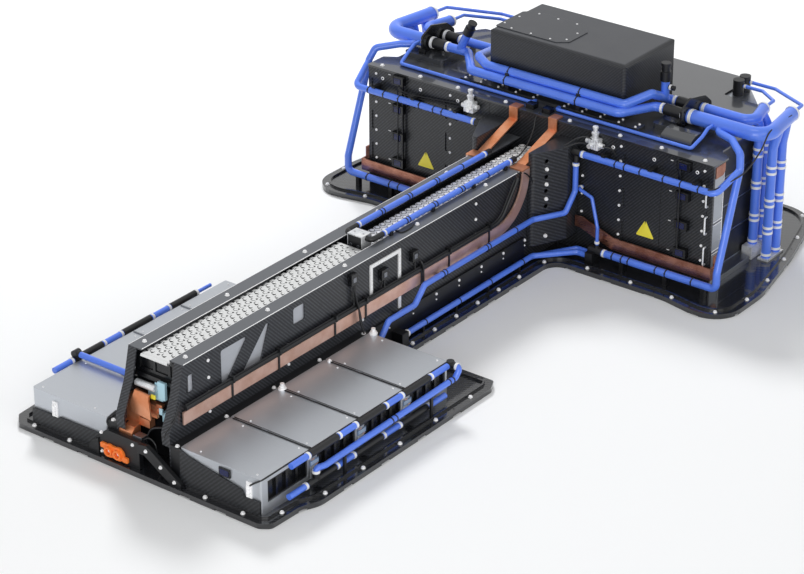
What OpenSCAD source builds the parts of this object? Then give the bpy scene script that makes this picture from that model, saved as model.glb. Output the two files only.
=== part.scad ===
// Battery pack with a tee plan: two rows of flat modules in front, a spine tunnel and a wide stack
// at the rear.
// Millimetres. X is across the pack, Y runs from the front edge to the rear, Z is up.
// The origin is the middle of the footprint, on the underside of the tray.

/* [Tray] */
// length of the tray from front edge to rear edge
tray_length = 2240; // [2140:10:2340]
// half width of the tray around the front modules
front_half = 430; // [400:5:460]
// half width of the tray along the tunnel
neck_half = 142; // [130:2:160]
// half width of the tray under the rear stack
rear_half = 706; // [690:2:722]
// thickness of the tray plate
tray_t = 14; // [10:1:18]
// height of the stiffening lip above the plate
lip_h = 6; // [4:1:10]
// distance of the bolt line from the tray edge
bolt_inset = 13; // [11:1:15]

/* [Front modules] */
// modules in each front row
front_count = 4; // [3:1:4]
// spacing of the front modules along the tray
front_pitch = 181; // [170:1:182]
// width of a front module across the pack
front_width = 248; // [230:2:248]
// front module height
front_height = 100; // [90:1:105]
// front face of the first module, from the tray edge
front_start = 28; // [28:1:32]
// sheet thickness of the module cases
case_wall = 3; // [2:0.5:4]

/* [Tunnel] */
// outer half width of the tunnel
tunnel_half = 86; // [84:1:88]
// top of the tunnel flanges
tunnel_top = 300; // [290:1:305]
// sheet thickness of the tunnel sides
tunnel_t = 4; // [3:0.5:5]
// rear end of the tunnel sides
tunnel_end = 1640; // [1630:1:1640]
// half width of the opening between the flanges
slot_half = 45; // [44:1:50]
// cell spacing under the vent plate and in the open rows
cell_pitch = 22.5; // [22:0.1:22.5]
// cell radius
cell_r = 10.5; // [9:0.25:10.5]

/* [Rear stack] */
// front face of the rear panels
panel_y = 1641; // [1641:1:1643]
// thickness of the rear panels
panel_t = 8; // [6:1:8]
// half width of the rear panels
panel_half = 581; // [560:1:590]
// layers in the rear stack
layers = 4; // [3:1:4]
// height of one layer
layer_h = 87; // [80:1:87]
// thickness of the base plate under the stack
base_t = 16; // [12:1:18]
// thickness of the cover
cover_t = 6; // [4:1:8]
// half width of the box on the cover
box_half = 228; // [200:1:240]
// height of the box on the cover
box_h = 163; // [120:1:170]

/* [Hoses and busbars] */
// radius of the two hoses in front of the box
main_r = 13; // [11:0.5:13]
// radius of the corner headers
header_r = 20; // [16:0.5:20]
// radius of the panel hoses
panel_hose_r = 9.5; // [8:0.5:9.5]
// radius of the thin hoses
thin_r = 5; // [4:0.5:5]
// radius of the tunnel and neck hoses
side_r = 8; // [6:0.5:8]
// radius of the vertical pipes at the stack ends
riser_r = 13.5; // [11:0.5:13.5]
// height of the side busbars
bar_h = 34; // [28:1:34]
// thickness of the side busbars
bar_t = 5; // [4:0.5:5]
// gap left between neighbouring pieces that only rest on each other
fit = 0.2; // [0.1:0.05:0.3]

/* [Hidden] */
$fn = 48;
mid_y = tray_length / 2;
deck = tray_t;
stack_z = deck + base_t;
cover_z = stack_z + layers * layer_h;
cover_top = cover_z + cover_t;
front_in = tunnel_half + 32;
front_out = front_in + front_width;
front_top = deck + front_height;
front_end = front_start + front_count * front_pitch - 1;
bolt_r = 4;
socket_r = 8;
mount_r = 5.3;
lap = 0.4;
swell = 0.12;
bolt_hole = 4.3;
head_r = 6;
rail_x = front_out + 15;
rail_z = front_top - 1;
low_x = front_out + 19;
low_z = deck + 24;
rail_r = 9;
spine_top = 262;
hose_y = panel_y - 30;
tee_z = 320;
couple_z = 425;
rear_edge = panel_y - 100;
drawn_depth = 599;
drawn_half = 706;
couple_a = back(162);
couple_b = back(227);
plate_r_x = 392;
plate_l_x = -486;
plate_t = 6;
pipes_in = [back(265), back(305)];
pipes_out = [back(264), back(314)];
pipe_in_x = panel_half - 21;
pipe_out_x = panel_half + 24;
corner_x = panel_half + 59;
lean = 28;
pipe_in_z = 345;
pipe_out_z = 300;
pad_h = 16;
box_z = cover_top;
box_y0 = back(99);
box_y1 = back(355);
bar_x = tunnel_half + 4;
bar_z = 163;
bar_turn = 130;
bar_bend_y = 1340;
cable_x = bar_x + 5.8;
cable_r = 6;
wire_r = 2;
cable_z = 190;
wire_z = cable_z + cable_r + wire_r + fit;
gusset_z = 340;
gusset_foot = 62;
neck_z = deck + 20;
neck_in = 102.4;
neck_out = 115;
tee_x = 178;
low_hose_z = 48;
carbon = [0.16, 0.165, 0.175];
black = [0.09, 0.09, 0.1];
alu = [0.72, 0.74, 0.78];
silver = [0.85, 0.86, 0.88];
blue = [0.24, 0.44, 0.88];
copper = [0.82, 0.54, 0.41];
white = [0.92, 0.93, 0.94];
orange = [0.91, 0.39, 0.12];

// place along the pack for a depth d behind the panel face, stretched with the tray
function back(d) = panel_y + d * (tray_length - panel_y) / drawn_depth;

// place across the rear tray, stretched with its half width
function wide(x) = x * rear_half / drawn_half;

// centre of a header's rear leg at depth y, for a leg that leans in from a corner at x0, y0
function leg_x(x0, y0, y1, y) = x0 - lean * (y - y0) / (y1 - y0);

// unit vector along v
function unit(v) = v / norm(v);

// angle between two legs, in degrees
function turn_of(a, b) = acos(max(-1, min(1, unit(a) * unit(b))));

// length that the bend at corner i takes from each leg
function cut_back(p, i, bend) = (i == 0 || i == len(p) - 1) ? 0
    : bend * tan(turn_of(p[i] - p[i - 1], p[i + 1] - p[i]) / 2);

// loop p moved inwards by d, for corners listed anticlockwise
function inset(p, d) = [for (i = [0 : len(p) - 1])
    let (n = len(p), e1 = unit(p[i] - p[(i + n - 1) % n]), e2 = unit(p[(i + 1) % n] - p[i]),
        n1 = [-e1[1], e1[0]], n2 = [-e2[1], e2[0]])
    p[i] + d * (n1 + n2) / (1 + n1 * n2)];

// radii for the inset loop: convex corners lose d, hollow corners gain it
function inset_radii(p, r, d) = [for (i = [0 : len(p) - 1])
    let (n = len(p), a = p[i] - p[(i + n - 1) % n], b = p[(i + 1) % n] - p[i])
    (a[0] * b[1] - a[1] * b[0] > 0) ? max(0.5, r[i] - d) : r[i] + d];

// points of loop p with each corner rounded by its own radius
function rounded(p, r, steps) = [for (i = [0 : len(p) - 1])
    let (n = len(p), u = unit(p[(i + n - 1) % n] - p[i]), w = unit(p[(i + 1) % n] - p[i]),
        half = turn_of(u, w) / 2, c = p[i] + unit(u + w) * (r[i] / sin(half)),
        s = p[i] + u * (r[i] / tan(half)) - c, e = p[i] + w * (r[i] / tan(half)) - c,
        a0 = atan2(s[1], s[0]), raw = atan2(e[1], e[0]) - a0,
        sweep = raw > 180 ? raw - 360 : (raw < -180 ? raw + 360 : raw))
    for (k = [0 : steps]) c + r[i] * [cos(a0 + sweep * k / steps), sin(a0 + sweep * k / steps)]];

// corners of a plain rectangle
function box_loop(x0, y0, x1, y1) = [[x0, y0], [x1, y0], [x1, y1], [x0, y1]];

// right half of the tray outline, front to rear, as [x, y, radius]
half_loop = [[front_half - 52, 0, 24], [front_half - 26, 18, 20], [front_half - 22, 120, 80],
    [front_half, 165, 80], [front_half, 852, 16], [front_half - 16, 885, 12], [neck_half, 885, 22],
    [neck_half, rear_edge, 45], [500, rear_edge + 1, 150], [wide(606), rear_edge - 21, 100],
    [rear_half, rear_edge - 21, 84], [rear_half, back(79), 300], [wide(655), back(324), 400],
    [wide(575), tray_length, 130]];
// the left half has a squarer front corner
left_loop = concat([[front_half - 34, 0, 14], [front_half - 5, 30, 14], [front_half, 100, 60]],
    [for (i = [4 : len(half_loop) - 1]) half_loop[i]]);
tray_loop = concat([for (q = half_loop) [q[0], q[1]]],
    [for (i = [len(left_loop) - 1 : -1 : 0]) [-left_loop[i][0], left_loop[i][1]]]);
tray_radii = concat([for (q = half_loop) q[2]],
    [for (i = [len(left_loop) - 1 : -1 : 0]) left_loop[i][2]]);

// bolts on both sides of the tray rim
rim_bolts = concat([[front_half - 39, 71]],
    [for (k = [0 : 4]) [front_half - bolt_inset, 200 + 145 * k]],
    [for (k = [0 : 5]) [neck_half - bolt_inset, 918 + 96 * k]],
    [[neck_half - 11, rear_edge - 26], [247, rear_edge + 14], [388, rear_edge + 14], [525, rear_edge + 7],
    [wide(663), rear_edge + 5], [wide(693), back(19)], [wide(678), back(151)], [wide(649), back(289)],
    [wide(609), back(431)], [wide(549), back(561)], [340, tray_length - bolt_inset],
    [180, tray_length - bolt_inset]]);
// bolts along the front edge, which don't mirror
edge_bolts = [[-354, bolt_inset], [-235, bolt_inset], [204, bolt_inset], [321, bolt_inset]];
// small holes between the rim bolts
rim_holes = concat([for (k = [0 : 3]) [front_half - 11, 272 + 145 * k]],
    [for (k = [0 : 4]) [neck_half - 11, 966 + 96 * k]],
    [[317, rear_edge + 12], [457, rear_edge + 12], [wide(592), rear_edge - 5], [wide(688), back(84)],
    [wide(664), back(221)], [wide(631), back(359)]]);
// notches under the rim, as [x, y, heading]
rim_notches = concat([for (k = [0 : 3]) [front_half, 272 + 145 * k, 90]],
    [for (k = [0 : 4]) [neck_half, 966 + 96 * k, 90]],
    [[200, rear_edge, 0], [317, rear_edge, 0], [457, rear_edge, 0], [wide(610), rear_edge - 21, 0],
    [wide(701), back(-41), 90], [wide(697), back(119), 102], [wide(666), back(271), 102],
    [wide(628), back(415), 106], [wide(560), back(575), 130], [480, tray_length, 0], [330, tray_length, 0],
    [170, tray_length, 0]]);

// moves a piece drawn from the front edge to the pack's origin
module place() {
    translate([0, -mid_y, 0])
        children();
}

// a piece and its mirror image across the pack
module both() {
    children();
    mirror([1, 0, 0])
        children();
}

// box from its low corner to its high corner
module block(a, b) {
    translate(a)
        cube(b - a);
}

// plate of a given loop
module plate(loop, z0, z1) {
    translate([0, 0, z0])
        linear_extrude(height = z1 - z0)
            polygon(loop);
}

// profile in the YZ plane, drawn from x0 to x1
module across(loop, x0, x1) {
    translate([x0, 0, 0])
        rotate([90, 0, 90])
            linear_extrude(height = x1 - x0)
                polygon(loop);
}

// profile in the XZ plane, drawn from y0 back to y1
module along(loop, y0, y1) {
    translate([0, y1, 0])
        rotate([90, 0, 0])
            linear_extrude(height = y1 - y0)
                polygon(loop);
}

// cylinder from a point along X, Y or Z
module rod_x(p, l, r) {
    translate(p)
        rotate([0, 90, 0])
            cylinder(h = l, r = r);
}
module rod_y(p, l, r) {
    translate(p)
        rotate([-90, 0, 0])
            cylinder(h = l, r = r);
}
module rod_z(p, l, r) {
    translate(p)
        cylinder(h = l, r = r);
}

// one straight leg of a hose and everything after it
module leg(p, i, r, bend, fx, fy, fz) {
    run = norm(p[i + 1] - p[i]) - cut_back(p, i, bend) - cut_back(p, i + 1, bend);
    start = i == 0 ? 0 : lap;
    translate([0, 0, -start])
        cylinder(h = run + start + (i < len(p) - 2 ? lap : 0), r = r);
    if (i < len(p) - 2) {
        d = unit(p[i + 2] - p[i + 1]);
        roll = atan2(d * fy, d * fx);
        turn = acos(max(-1, min(1, d * fz)));
        nx = cos(roll) * fx + sin(roll) * fy;
        ny = cos(roll) * fy - sin(roll) * fx;
        translate([0, 0, run])
            rotate([0, 0, roll]) {
                translate([bend, 0, 0])
                    rotate([90, 0, 180])
                        rotate_extrude(angle = turn)
                            translate([bend, 0])
                                circle(r = r + swell);
                translate([bend, 0, 0])
                    rotate([0, turn, 0])
                        translate([-bend, 0, 0])
                            leg(p, i + 1, r, bend, cos(turn) * nx - sin(turn) * fz, ny,
                                sin(turn) * nx + cos(turn) * fz);
            }
    }
}

// hose through the points p with its corners bent to one radius
module hose(p, r, bend) {
    fz = unit(p[1] - p[0]);
    fx = unit(abs(fz[2]) > 0.9 ? cross([0, 1, 0], fz) : cross([0, 0, 1], fz));
    fy = cross(fz, fx);
    multmatrix([[fx[0], fy[0], fz[0], p[0][0]], [fx[1], fy[1], fz[1], p[0][1]],
        [fx[2], fy[2], fz[2], p[0][2]], [0, 0, 0, 1]])
        leg(p, 0, r, bend, fx, fy, fz);
}

// ring round a hose: axis is 0, 1 or 2 for X, Y or Z
module band(p, axis, r, wide, thick) {
    translate(p)
        rotate([axis == 1 ? 90 : 0, axis == 0 ? 90 : 0, 0])
            difference() {
                cylinder(h = wide, r = r + thick, center = true);
                cylinder(h = wide + 2, r = r + 0.1, center = true);
            }
}

// bolt standing on z = 0 with its shank below
module bolt(hr, hh, sr, sl) {
    cylinder(h = hh, r = hr, $fn = 24);
    translate([0, 0, -sl])
        cylinder(h = sl, r = sr, $fn = 24);
}

// flat button screw head
module button(r, h) {
    cylinder(h = h, r = r, $fn = 24);
}

module tray() {
    color(carbon)
        place() {
            difference() {
                plate(rounded(tray_loop, tray_radii, 8), 0, deck);
                both() {
                    for (q = rim_bolts)
                        translate([q[0], q[1], -1])
                            cylinder(h = deck + 2, r = bolt_hole);
                    for (q = rim_holes)
                        translate([q[0], q[1], -1])
                            cylinder(h = deck + 2, r = 2.2, $fn = 24);
                    for (x = [90, 260, 430])
                        translate([x, tray_length - bolt_inset, -1])
                            cylinder(h = deck + 2, r = mount_r);
                    for (q = rim_notches)
                        translate([q[0], q[1], 0])
                            rotate([0, 0, q[2]])
                                cube([34, 8, 9], center = true);
                }
                for (q = edge_bolts)
                    translate([q[0], q[1], -1])
                        cylinder(h = deck + 2, r = bolt_hole);
                for (x = [-295, -180, 150, 262])
                    translate([x, 0, 0])
                        cube([34, 8, 9], center = true);
                translate([front_half - 20, 128, 0])
                    rotate([0, 0, 80])
                        cube([34, 8, 9], center = true);
            }
            difference() {
                plate(rounded(inset(tray_loop, 21), inset_radii(tray_loop, tray_radii, 21), 8), deck, deck + lip_h);
                plate(rounded(inset(tray_loop, 26), inset_radii(tray_loop, tray_radii, 26), 8), deck - 1, deck + 20);
                block([-172, 15, deck - 1], [136, 35, deck + 20]);
            }
        }
}

module tray_bolts() {
    color(silver)
        place() {
            both()
                for (q = rim_bolts)
                    translate([q[0], q[1], deck])
                        bolt(head_r, 5, bolt_r, deck - 2);
            for (q = edge_bolts)
                translate([q[0], q[1], deck])
                    bolt(head_r, 5, bolt_r, deck - 2);
        }
}

// front view of the fairings, right and left, each cut down in front of a latch
fairing_r = [[front_in + 1, deck + lip_h], [front_out, deck + lip_h], [front_out, 55.5], [318, 55.5],
    [312, 69], [276, 77], [196, 90], [142, 101], [front_in + 1, 110]];
fairing_l = [[-front_out, deck + lip_h], [-134.2, deck + lip_h], [-134.2, 62], [-276, 60], [-280, 55.5],
    [-300, 55.5], [-304, 59], [-front_out, 57]];

module front_fairings() {
    color(carbon)
        place()
            for (front = [fairing_r, fairing_l])
                intersection() {
                    along(front, 18, 30);
                    across([[20.5, deck + lip_h], [27.5, deck + lip_h], [27.5, 112], [24.5, 112]],
                        -front_out, front_out);
                }
}

// one front module case on the right, number i counted from the front
module front_case(i) {
    y0 = front_start + i * front_pitch;
    y1 = y0 + front_pitch - 1;
    color(alu)
        place()
            difference() {
                plate(rounded(box_loop(front_in, y0, front_out, y1), [4, 4, 4, 4], 4), deck, front_top);
                block([front_in + case_wall, y0 + case_wall, deck + case_wall],
                    [front_out - case_wall, y1 - case_wall, front_top - case_wall]);
                block([front_out - 10, y0 + 24, deck + 28], [front_out + 2, y1 - 10, front_top - 14]);
            }
}

module front_holders() {
    color(black)
        place()
            both()
                for (i = [0 : front_count - 1]) {
                    y0 = front_start + i * front_pitch + case_wall + fit;
                    y1 = y0 + front_pitch - 1 - 2 * case_wall - 2 * fit;
                    x1 = front_out - case_wall - fit;
                    difference() {
                        block([front_in + case_wall + fit, y0, deck + case_wall],
                            [x1, y1, front_top - case_wall - fit]);
                        for (k = [0 : 3])
                            block([x1 - 6, y0 + 26 + 36 * k, deck + 32], [x1 + 1, y0 + 54 + 36 * k, front_top - 20]);
                    }
                }
}

module seam_straps() {
    color(black)
        place()
            both()
                for (i = [1 : front_count - 1]) {
                    y = front_start + i * front_pitch - 0.5;
                    block([front_in + 24, y - 2, front_top], [front_out - 4, y + 2, front_top + 2.5]);
                    block([front_in + 100, y - 3, front_top + 2.5], [front_in + 118, y + 3, front_top + 4.5]);
                }
}

module module_latches() {
    color(silver)
        place() {
            for (x = [-290, 332]) {
                block([x - 8, front_start - 4, 56], [x + 8, front_start - fit, 98]);
                rod_z([x, front_start - 7, 62], 30, 5);
            }
            for (y = [390, 570, 752])
                translate([front_in + (y == 570 ? 16 : 12), y, front_top]) {
                    cylinder(h = 3, r = y == 570 ? 6 : 11);
                    cylinder(h = y == 570 ? 5 : 8, r = y == 570 ? 4 : 8);
                    cylinder(h = y == 570 ? 7 : 16, r = y == 570 ? 2 : 5.5);
                }
        }
}

module front_rails() {
    color(black)
        place() {
            both()
                for (k = [0 : front_count - 2]) {
                    rod_y([rail_x, 187 + fit + front_pitch * k, rail_z], 105 - 2 * fit, rail_r);
                    block([front_out + fit, 230 + front_pitch * k, rail_z - 8],
                        [rail_x, 246 + front_pitch * k, rail_z]);
                    rod_y([low_x, 172 + fit + front_pitch * k, low_z], 105 - 2 * fit, rail_r);
                    block([front_out + fit, 216 + front_pitch * k, low_z - 12],
                        [low_x, 232 + front_pitch * k, low_z - 2]);
                }
            rod_z([low_x, 206, low_z], 20, rail_r);
            rod_y([rail_x, 730 + fit, rail_z], 22, rail_r);
            rod_x([rail_x, 752 - rail_r, rail_z], 16, rail_r);
            rod_z([rail_x, 743, rail_z - rail_r - 1], 2 * rail_r + 2, rail_r + 1);
            mirror([1, 0, 0]) {
                rod_z([rail_x, 200, rail_z], 15, rail_r);
                rod_y([rail_x, 200 - rail_r - 1, rail_z + 15], 2 * rail_r + 2, rail_r + 1);
                rod_x([rail_x - 14, 200, rail_z + 15], 14, rail_r);
            }
        }
}

module front_hoses() {
    last = front_count - 1;
    color(blue)
        place() {
            both() {
                for (k = [0 : last]) {
                    first = k == 0 ? 8 : 0;
                    if (k < last)
                        rod_y([rail_x, 111 + first + front_pitch * k, rail_z], 76 - first, side_r);
                    rod_y([low_x, 96 + first + front_pitch * k, low_z], 76 - first, side_r);
                }
            }
            rod_y([rail_x, 111 + front_pitch * last, rail_z], 76, side_r);
            hose([[rail_x + 16 + fit, 743, rail_z], [rail_x + 30, 743, rail_z], [rail_x + 25, 730, 88],
                [rail_x + 12, 232, 68.2], [low_x, 206, 68.2], [low_x, 206, low_z + 20 + fit]], side_r, 9);
            mirror([1, 0, 0]) {
                rod_y([rail_x, 111 + front_pitch * last, rail_z], 54, thin_r);
                hose([[rail_x - 14 - fit, 200, rail_z + 15], [tunnel_half + fit, 200, rail_z + 15]], side_r, 10);
            }
        }
}

module cell_tags() {
    color([0.5, 0.6, 0.72])
        place()
            both()
                for (y = [230, 411, 592])
                    block([front_out + fit, y - 24, 66], [front_out + 2, y - 16 + 24, 80]);
}

// windows in the tunnel sides, as loops in [y, z]
windows = [[[91, 217], [117, 217], [117, 264], [98, 264]], [[218, 190], [240, 190], [320, 280], [218, 280]],
    [[292, 185], [362, 185], [400, 282], [386, 282]], box_loop(490, 234, 534, 280)];

// side of the tunnel on the right: web, flange and front return
module tunnel_side() {
    difference() {
        union() {
            across([[82, tunnel_top], [62, 220], [26, 135], [28, 100], [28, deck], [tunnel_end, deck],
                [tunnel_end, tunnel_top]], tunnel_half - tunnel_t, tunnel_half);
            block([slot_half, 82, tunnel_top - tunnel_t], [tunnel_half, tunnel_end, tunnel_top]);
            across([[82, tunnel_top], [62, 220], [26, 135], [28, 100], [32, 100], [30.3, 135], [66, 219],
                [86, tunnel_top]], tunnel_half - 26, tunnel_half);
        }
        for (window = windows)
            across(rounded(window, [6, 6, 6, 6], 5), tunnel_half - 8, tunnel_half + 1);
        for (y = [116, 418, 720, 1022, 1324])
            translate([tunnel_half - 21, y, tunnel_top - 10])
                cylinder(h = 20, r = 3.3, $fn = 24);
        for (q = side_bolts)
            rod_x([tunnel_half - 10, q[0], q[1]], 20, 3.3, $fn = 24);
    }
}

// bolts through the tunnel sides, as [y, z]
side_bolts = [[171, 275], [171, 229], [171, 189], [171, 136], [467, 189], [467, 136], [763, 136],
    [1251, 279], [1251, 233], [1251, 189]];

module tunnel_side_r() {
    color(carbon)
        place()
            tunnel_side();
}

module tunnel_side_l() {
    color(carbon)
        place()
            mirror([1, 0, 0])
                tunnel_side();
}

module tunnel_liners() {
    color(alu)
        place()
            both()
                block([78.2, 104, spine_top - 150], [tunnel_half - tunnel_t - fit, 640, 289]);
}

module spine_rails() {
    color(black)
        place()
            both() {
                block([tunnel_half + fit, front_start, deck], [front_in - fit, 756, 108]);
                block([tunnel_half + fit, 762, deck], [tunnel_half + 7, 1470, 96]);
            }
}

module tunnel_bolts() {
    color(silver)
        place()
            both() {
                for (y = [116, 418, 720, 1022, 1324])
                    translate([tunnel_half - 21, y, tunnel_top])
                        bolt(head_r, 5, 3, 12);
                for (q = side_bolts)
                    translate([tunnel_half, q[0], q[1]])
                        rotate([0, 90, 0])
                            bolt(5.5, 3, 3, 3.5);
                for (k = [0 : front_count])
                    translate([tunnel_half + 17, front_start + 6 + 178 * k, 108])
                        button(6, 4);
                for (k = [0 : 6])
                    translate([tunnel_half + 7, 866 + 101 * k, 87])
                        rotate([0, 90, 0])
                            button(5, 3);
                for (k = [0 : 6])
                    translate([tunnel_half + 7, 866 + 101 * k, 71])
                        rotate([0, 90, 0])
                            button(3, 2);
            }
}

module vent_plate() {
    color(alu)
        place()
            difference() {
                union() {
                    block([-43, 86, 290], [43, 828, 293]);
                    block([-43, 100.2, spine_top], [-41, 828, 290]);
                    block([41, 100.2, spine_top], [43, 828, 290]);
                    rod_x([-43, 87, 289], 86, 4);
                }
                for (k = [0 : 32]) {
                    y = 97 + cell_pitch * k;
                    block([-44, y - 5, 286], [-36, y + 5, 294]);
                    for (x = [-23, -4, 15])
                        translate([x, y, 280])
                            cylinder(h = 20, r = 4, $fn = 24);
                    translate([33, y + cell_pitch / 2, 280])
                        cylinder(h = 20, r = 3, $fn = 24);
                }
            }
}

module cell_spine() {
    color(black)
        place() {
            block([-78, 100, deck], [78, tunnel_end, spine_top]);
            block([-43, 830, spine_top], [43, 841.8, 286]);
        }
}

module vent_cells() {
    color([0.78, 0.79, 0.82])
        place()
            for (j = [0 : 32], i = [-1 : 1])
                translate([i * cell_pitch, 898 + cell_pitch * j, spine_top]) {
                    cylinder(h = 26, r = cell_r);
                    translate([0, 0, 26])
                        cylinder(h = 2, r = cell_r - 4);
                }
}

module junction_block() {
    color(alu)
        place()
            difference() {
                block([-24, 842, spine_top], [24, 880, 320]);
                rod_x([-30, 861, 311], 60, 5.2);
                translate([-14, 861, 310])
                    cylinder(h = 20, r = 3, $fn = 24);
                translate([14, 861, 310])
                    cylinder(h = 20, r = 3, $fn = 24);
            }
}

module tunnel_hoses() {
    color(blue)
        place()
            both()
                rod_y([42, 905 + fit, 311], 565 - 2 * fit, side_r);
}

module end_bracket() {
    color(black)
        place() {
            difference() {
                block([-78, 93, 234], [78, 100, 286]);
                block([-60, 90, 246], [-20, 96, 276]);
                block([-12, 90, 246], [28, 96, 276]);
                block([36, 90, 246], [60, 96, 276]);
            }
            block([-78, 86, 222], [58, 100, 234]);
            rod_x([-78, 91.8, 208], 66, 8);
        }
}

module end_insulators() {
    color([0.62, 0.78, 0.86])
        place() {
            block([-8, 84, 176], [16, 99.8, 221.8]);
            block([-34, 88, 178], [-8 - fit, 99.8, 190]);
            block([10, 86, 120], [26, 99.8, 146]);
        }
}

module front_busbars() {
    color(copper)
        place() {
            across([[99.8, 176], [70, 176], [60, 166], [60, 112], [40, 104], [30, 94], [30, 62], [37, 62],
                [37, 91], [44, 98], [67, 106], [67, 162], [73, 169], [99.8, 169]], -81.7, -40);
            across([[99.8, 160], [80, 160], [72, 152], [72, 132], [79, 132], [79, 149], [83, 153], [99.8, 153]],
                -32, 6);
        }
}

module hv_bracket() {
    color(black)
        place() {
            difference() {
                along(rounded([[-134, deck], [-4, deck], [-4, 88], [-110, 88], [-134, 66]], [2, 2, 4, 14, 10], 5),
                    14, 27.8);
                block([-60, 22, 56], [-14, 31, 80]);
            }
            along([[-4, 88], [24, 92], [40, 84], [132, 24], [132, deck], [98, deck], [18, 64], [-4, 64]],
                8, 20);
            along([[-134, deck], [-134, 58], [-150, 50], [-166, 28], [-166, deck]], 10, 20);
        }
}

module hv_connector() {
    color(orange)
        place()
            difference() {
                union() {
                    for (x = [-97, -68])
                        rod_y([x, 8, 36], 5.8, 18);
                    block([-97, 8, 20], [-68, 13.8, 52]);
                    along(rounded(box_loop(-56, 20, -38, 34), [3, 3, 3, 3], 4), 8, 13.8);
                    along(rounded(box_loop(-126, 38, -108, 52), [3, 3, 3, 3], 4), 8, 13.8);
                    for (x = [-97, -68])
                        rod_y([x, 1, 36], 8, 12.5);
                }
                for (x = [-97, -68])
                    rod_y([x, 0, 36], 12, socket_r);
            }
}

module side_busbars() {
    color(copper)
        place()
            both() {
                block([bar_x, 70, bar_z - bar_h / 2], [bar_x + bar_t, bar_bend_y, bar_z + bar_h / 2]);
                translate([bar_x, bar_bend_y, bar_z + bar_turn])
                    rotate([-90, 0, 90])
                        mirror([0, 0, 1])
                            rotate_extrude(angle = 90, $fn = 96)
                                translate([bar_turn - bar_h / 2, 0])
                                    square([bar_h, bar_t]);
                block([bar_x, bar_bend_y + bar_turn - bar_h / 2, bar_z + bar_turn],
                    [bar_x + bar_t, bar_bend_y + bar_turn + bar_h / 2, tunnel_top - fit]);
            }
}

module clips() {
    color(black)
        place() {
            both() {
                for (y = [245, 420, 640, 765, 1000, 1120, 1300])
                    difference() {
                        block([tunnel_half + fit, y - 3, bar_z - bar_h / 2 - 4], [bar_x + 13, y + 3, wire_z + 5]);
                        block([bar_x, y - 6, bar_z - bar_h / 2], [bar_x + bar_t + fit, y + 6, bar_z + bar_h / 2]);
                        block([bar_x + bar_t + fit + 2, y - 6, 130], [bar_x + 14, y + 6, cable_z - 4]);
                        rod_y([cable_x, y - 6, cable_z], 12, cable_r + 0.2);
                        rod_y([cable_x, y - 6, wire_z], 12, wire_r + 0.2);
                    }
                for (y = [900, 1075, 1270])
                    block([tunnel_half + fit, y - 6, y == 900 ? 97.2 : 138.6],
                        [118, y + 6, y == 900 ? 100.8 : 142.8]);
                for (y = [985, 1130, 1275, 1420])
                    difference() {
                        block([tunnel_half + 7 + fit, y - 3, deck], [neck_half - 26 - fit, y + 3, neck_z + 8]);
                        rod_y([neck_in, y - 8, neck_z - 2], 16, side_r + 0.1);
                        rod_y([neck_out, y - 8, neck_z + 9], 16, side_r + 0.1);
                    }
                for (y = [300, 640])
                    block([rail_x + 12.4 + (y - 300) / 110, y - 4, deck],
                        [rail_x + 18.4 + (y - 300) / 110, y + 4, 67.7 + (y - 232) / 25 - side_r]);
                for (x = [250, 400, 540])
                    difference() {
                        block([x - 6, hose_y - 3, tee_z - 14], [x + 6, panel_y - fit, tee_z + 14]);
                        rod_x([x - 8, hose_y, tee_z], 16, panel_hose_r + 0.1);
                    }
                for (x = [330, 470, 590])
                    difference() {
                        block([x - 6, hose_y - 16, deck], [x + 6, hose_y - 2, low_hose_z + 6]);
                        rod_x([x - 8, hose_y - 9, low_hose_z], 16, panel_hose_r + 1.1);
                    }
                for (x = [300, 480, 575])
                    block([x - 5, panel_y - 13, 56], [x + 5, panel_y - fit, 88]);
                for (y = [930, 1110, 1290, 1436])
                    difference() {
                        block([slot_half + 0.5, y - 5, tunnel_top], [slot_half + 9, y + 5, 311]);
                        rod_y([42, y - 6, 311], 12, side_r + 0.1);
                    }
            }
            for (x = [-142, 98])
                difference() {
                    block([x - 6, back(65), cover_top + 10], [x + 6, back(89), 444]);
                    rod_x([x - 8, back(63), 424], 16, main_r + 0.1);
                    rod_x([x - 8, back(81), 444], 16, main_r + 0.1);
                }
        }
}

module side_cables() {
    color(black)
        place()
            both() {
                hose([[cable_x, 75, cable_z], [cable_x, 1352, cable_z], [cable_x, 1430, 290]],
                    cable_r, 60);
                hose([[cable_x, 75, wire_z], [cable_x, 1345, wire_z], [cable_x, 1415, 292]],
                    wire_r, 60);
            }
}

module side_frame() {
    color(silver)
        place() {
            block([tunnel_half + fit, 793, 184], [tunnel_half + 3.6, 803, 278]);
            block([tunnel_half + fit, 793, 268], [tunnel_half + 3.6, 921, 278]);
            block([tunnel_half + fit, 911, 108], [tunnel_half + 3.6, 921, 278]);
        }
}

module connectors() {
    color(black)
        place() {
            block([front_in + 122, front_start - 4, 85], [front_in + 156, front_start - fit, 107]);
            both()
                block([14, panel_y + 15, cover_top], [40, panel_y + 39, cover_top + 14]);
            block([tunnel_half + fit, 704, 258], [tunnel_half + 14, 728, 288]);
            block([tunnel_half + fit, 828, 224], [tunnel_half + 14, 856, 252]);
            block([tunnel_half + fit, 958, 226], [tunnel_half + 14, 982, 254]);
            for (q = [[716, 258], [842, 224], [970, 226]])
                rod_z([cable_x, q[0], wire_z + wire_r + fit], q[1] - wire_z - wire_r - fit, 2.5);
            for (z = [108, 190, 276, 364]) {
                block([-486, panel_y - 16, z - 13], [-446, panel_y - fit, z + 13]);
                block([474, panel_y - 16, z - 13], [514, panel_y - fit, z + 13]);
            }
            for (x = [-452, 480], z = [[121, 56], [203, 60], [289, 62]])
                rod_z([x, panel_y - 8, z[0]], z[1], 3.5);
        }
}

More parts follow.
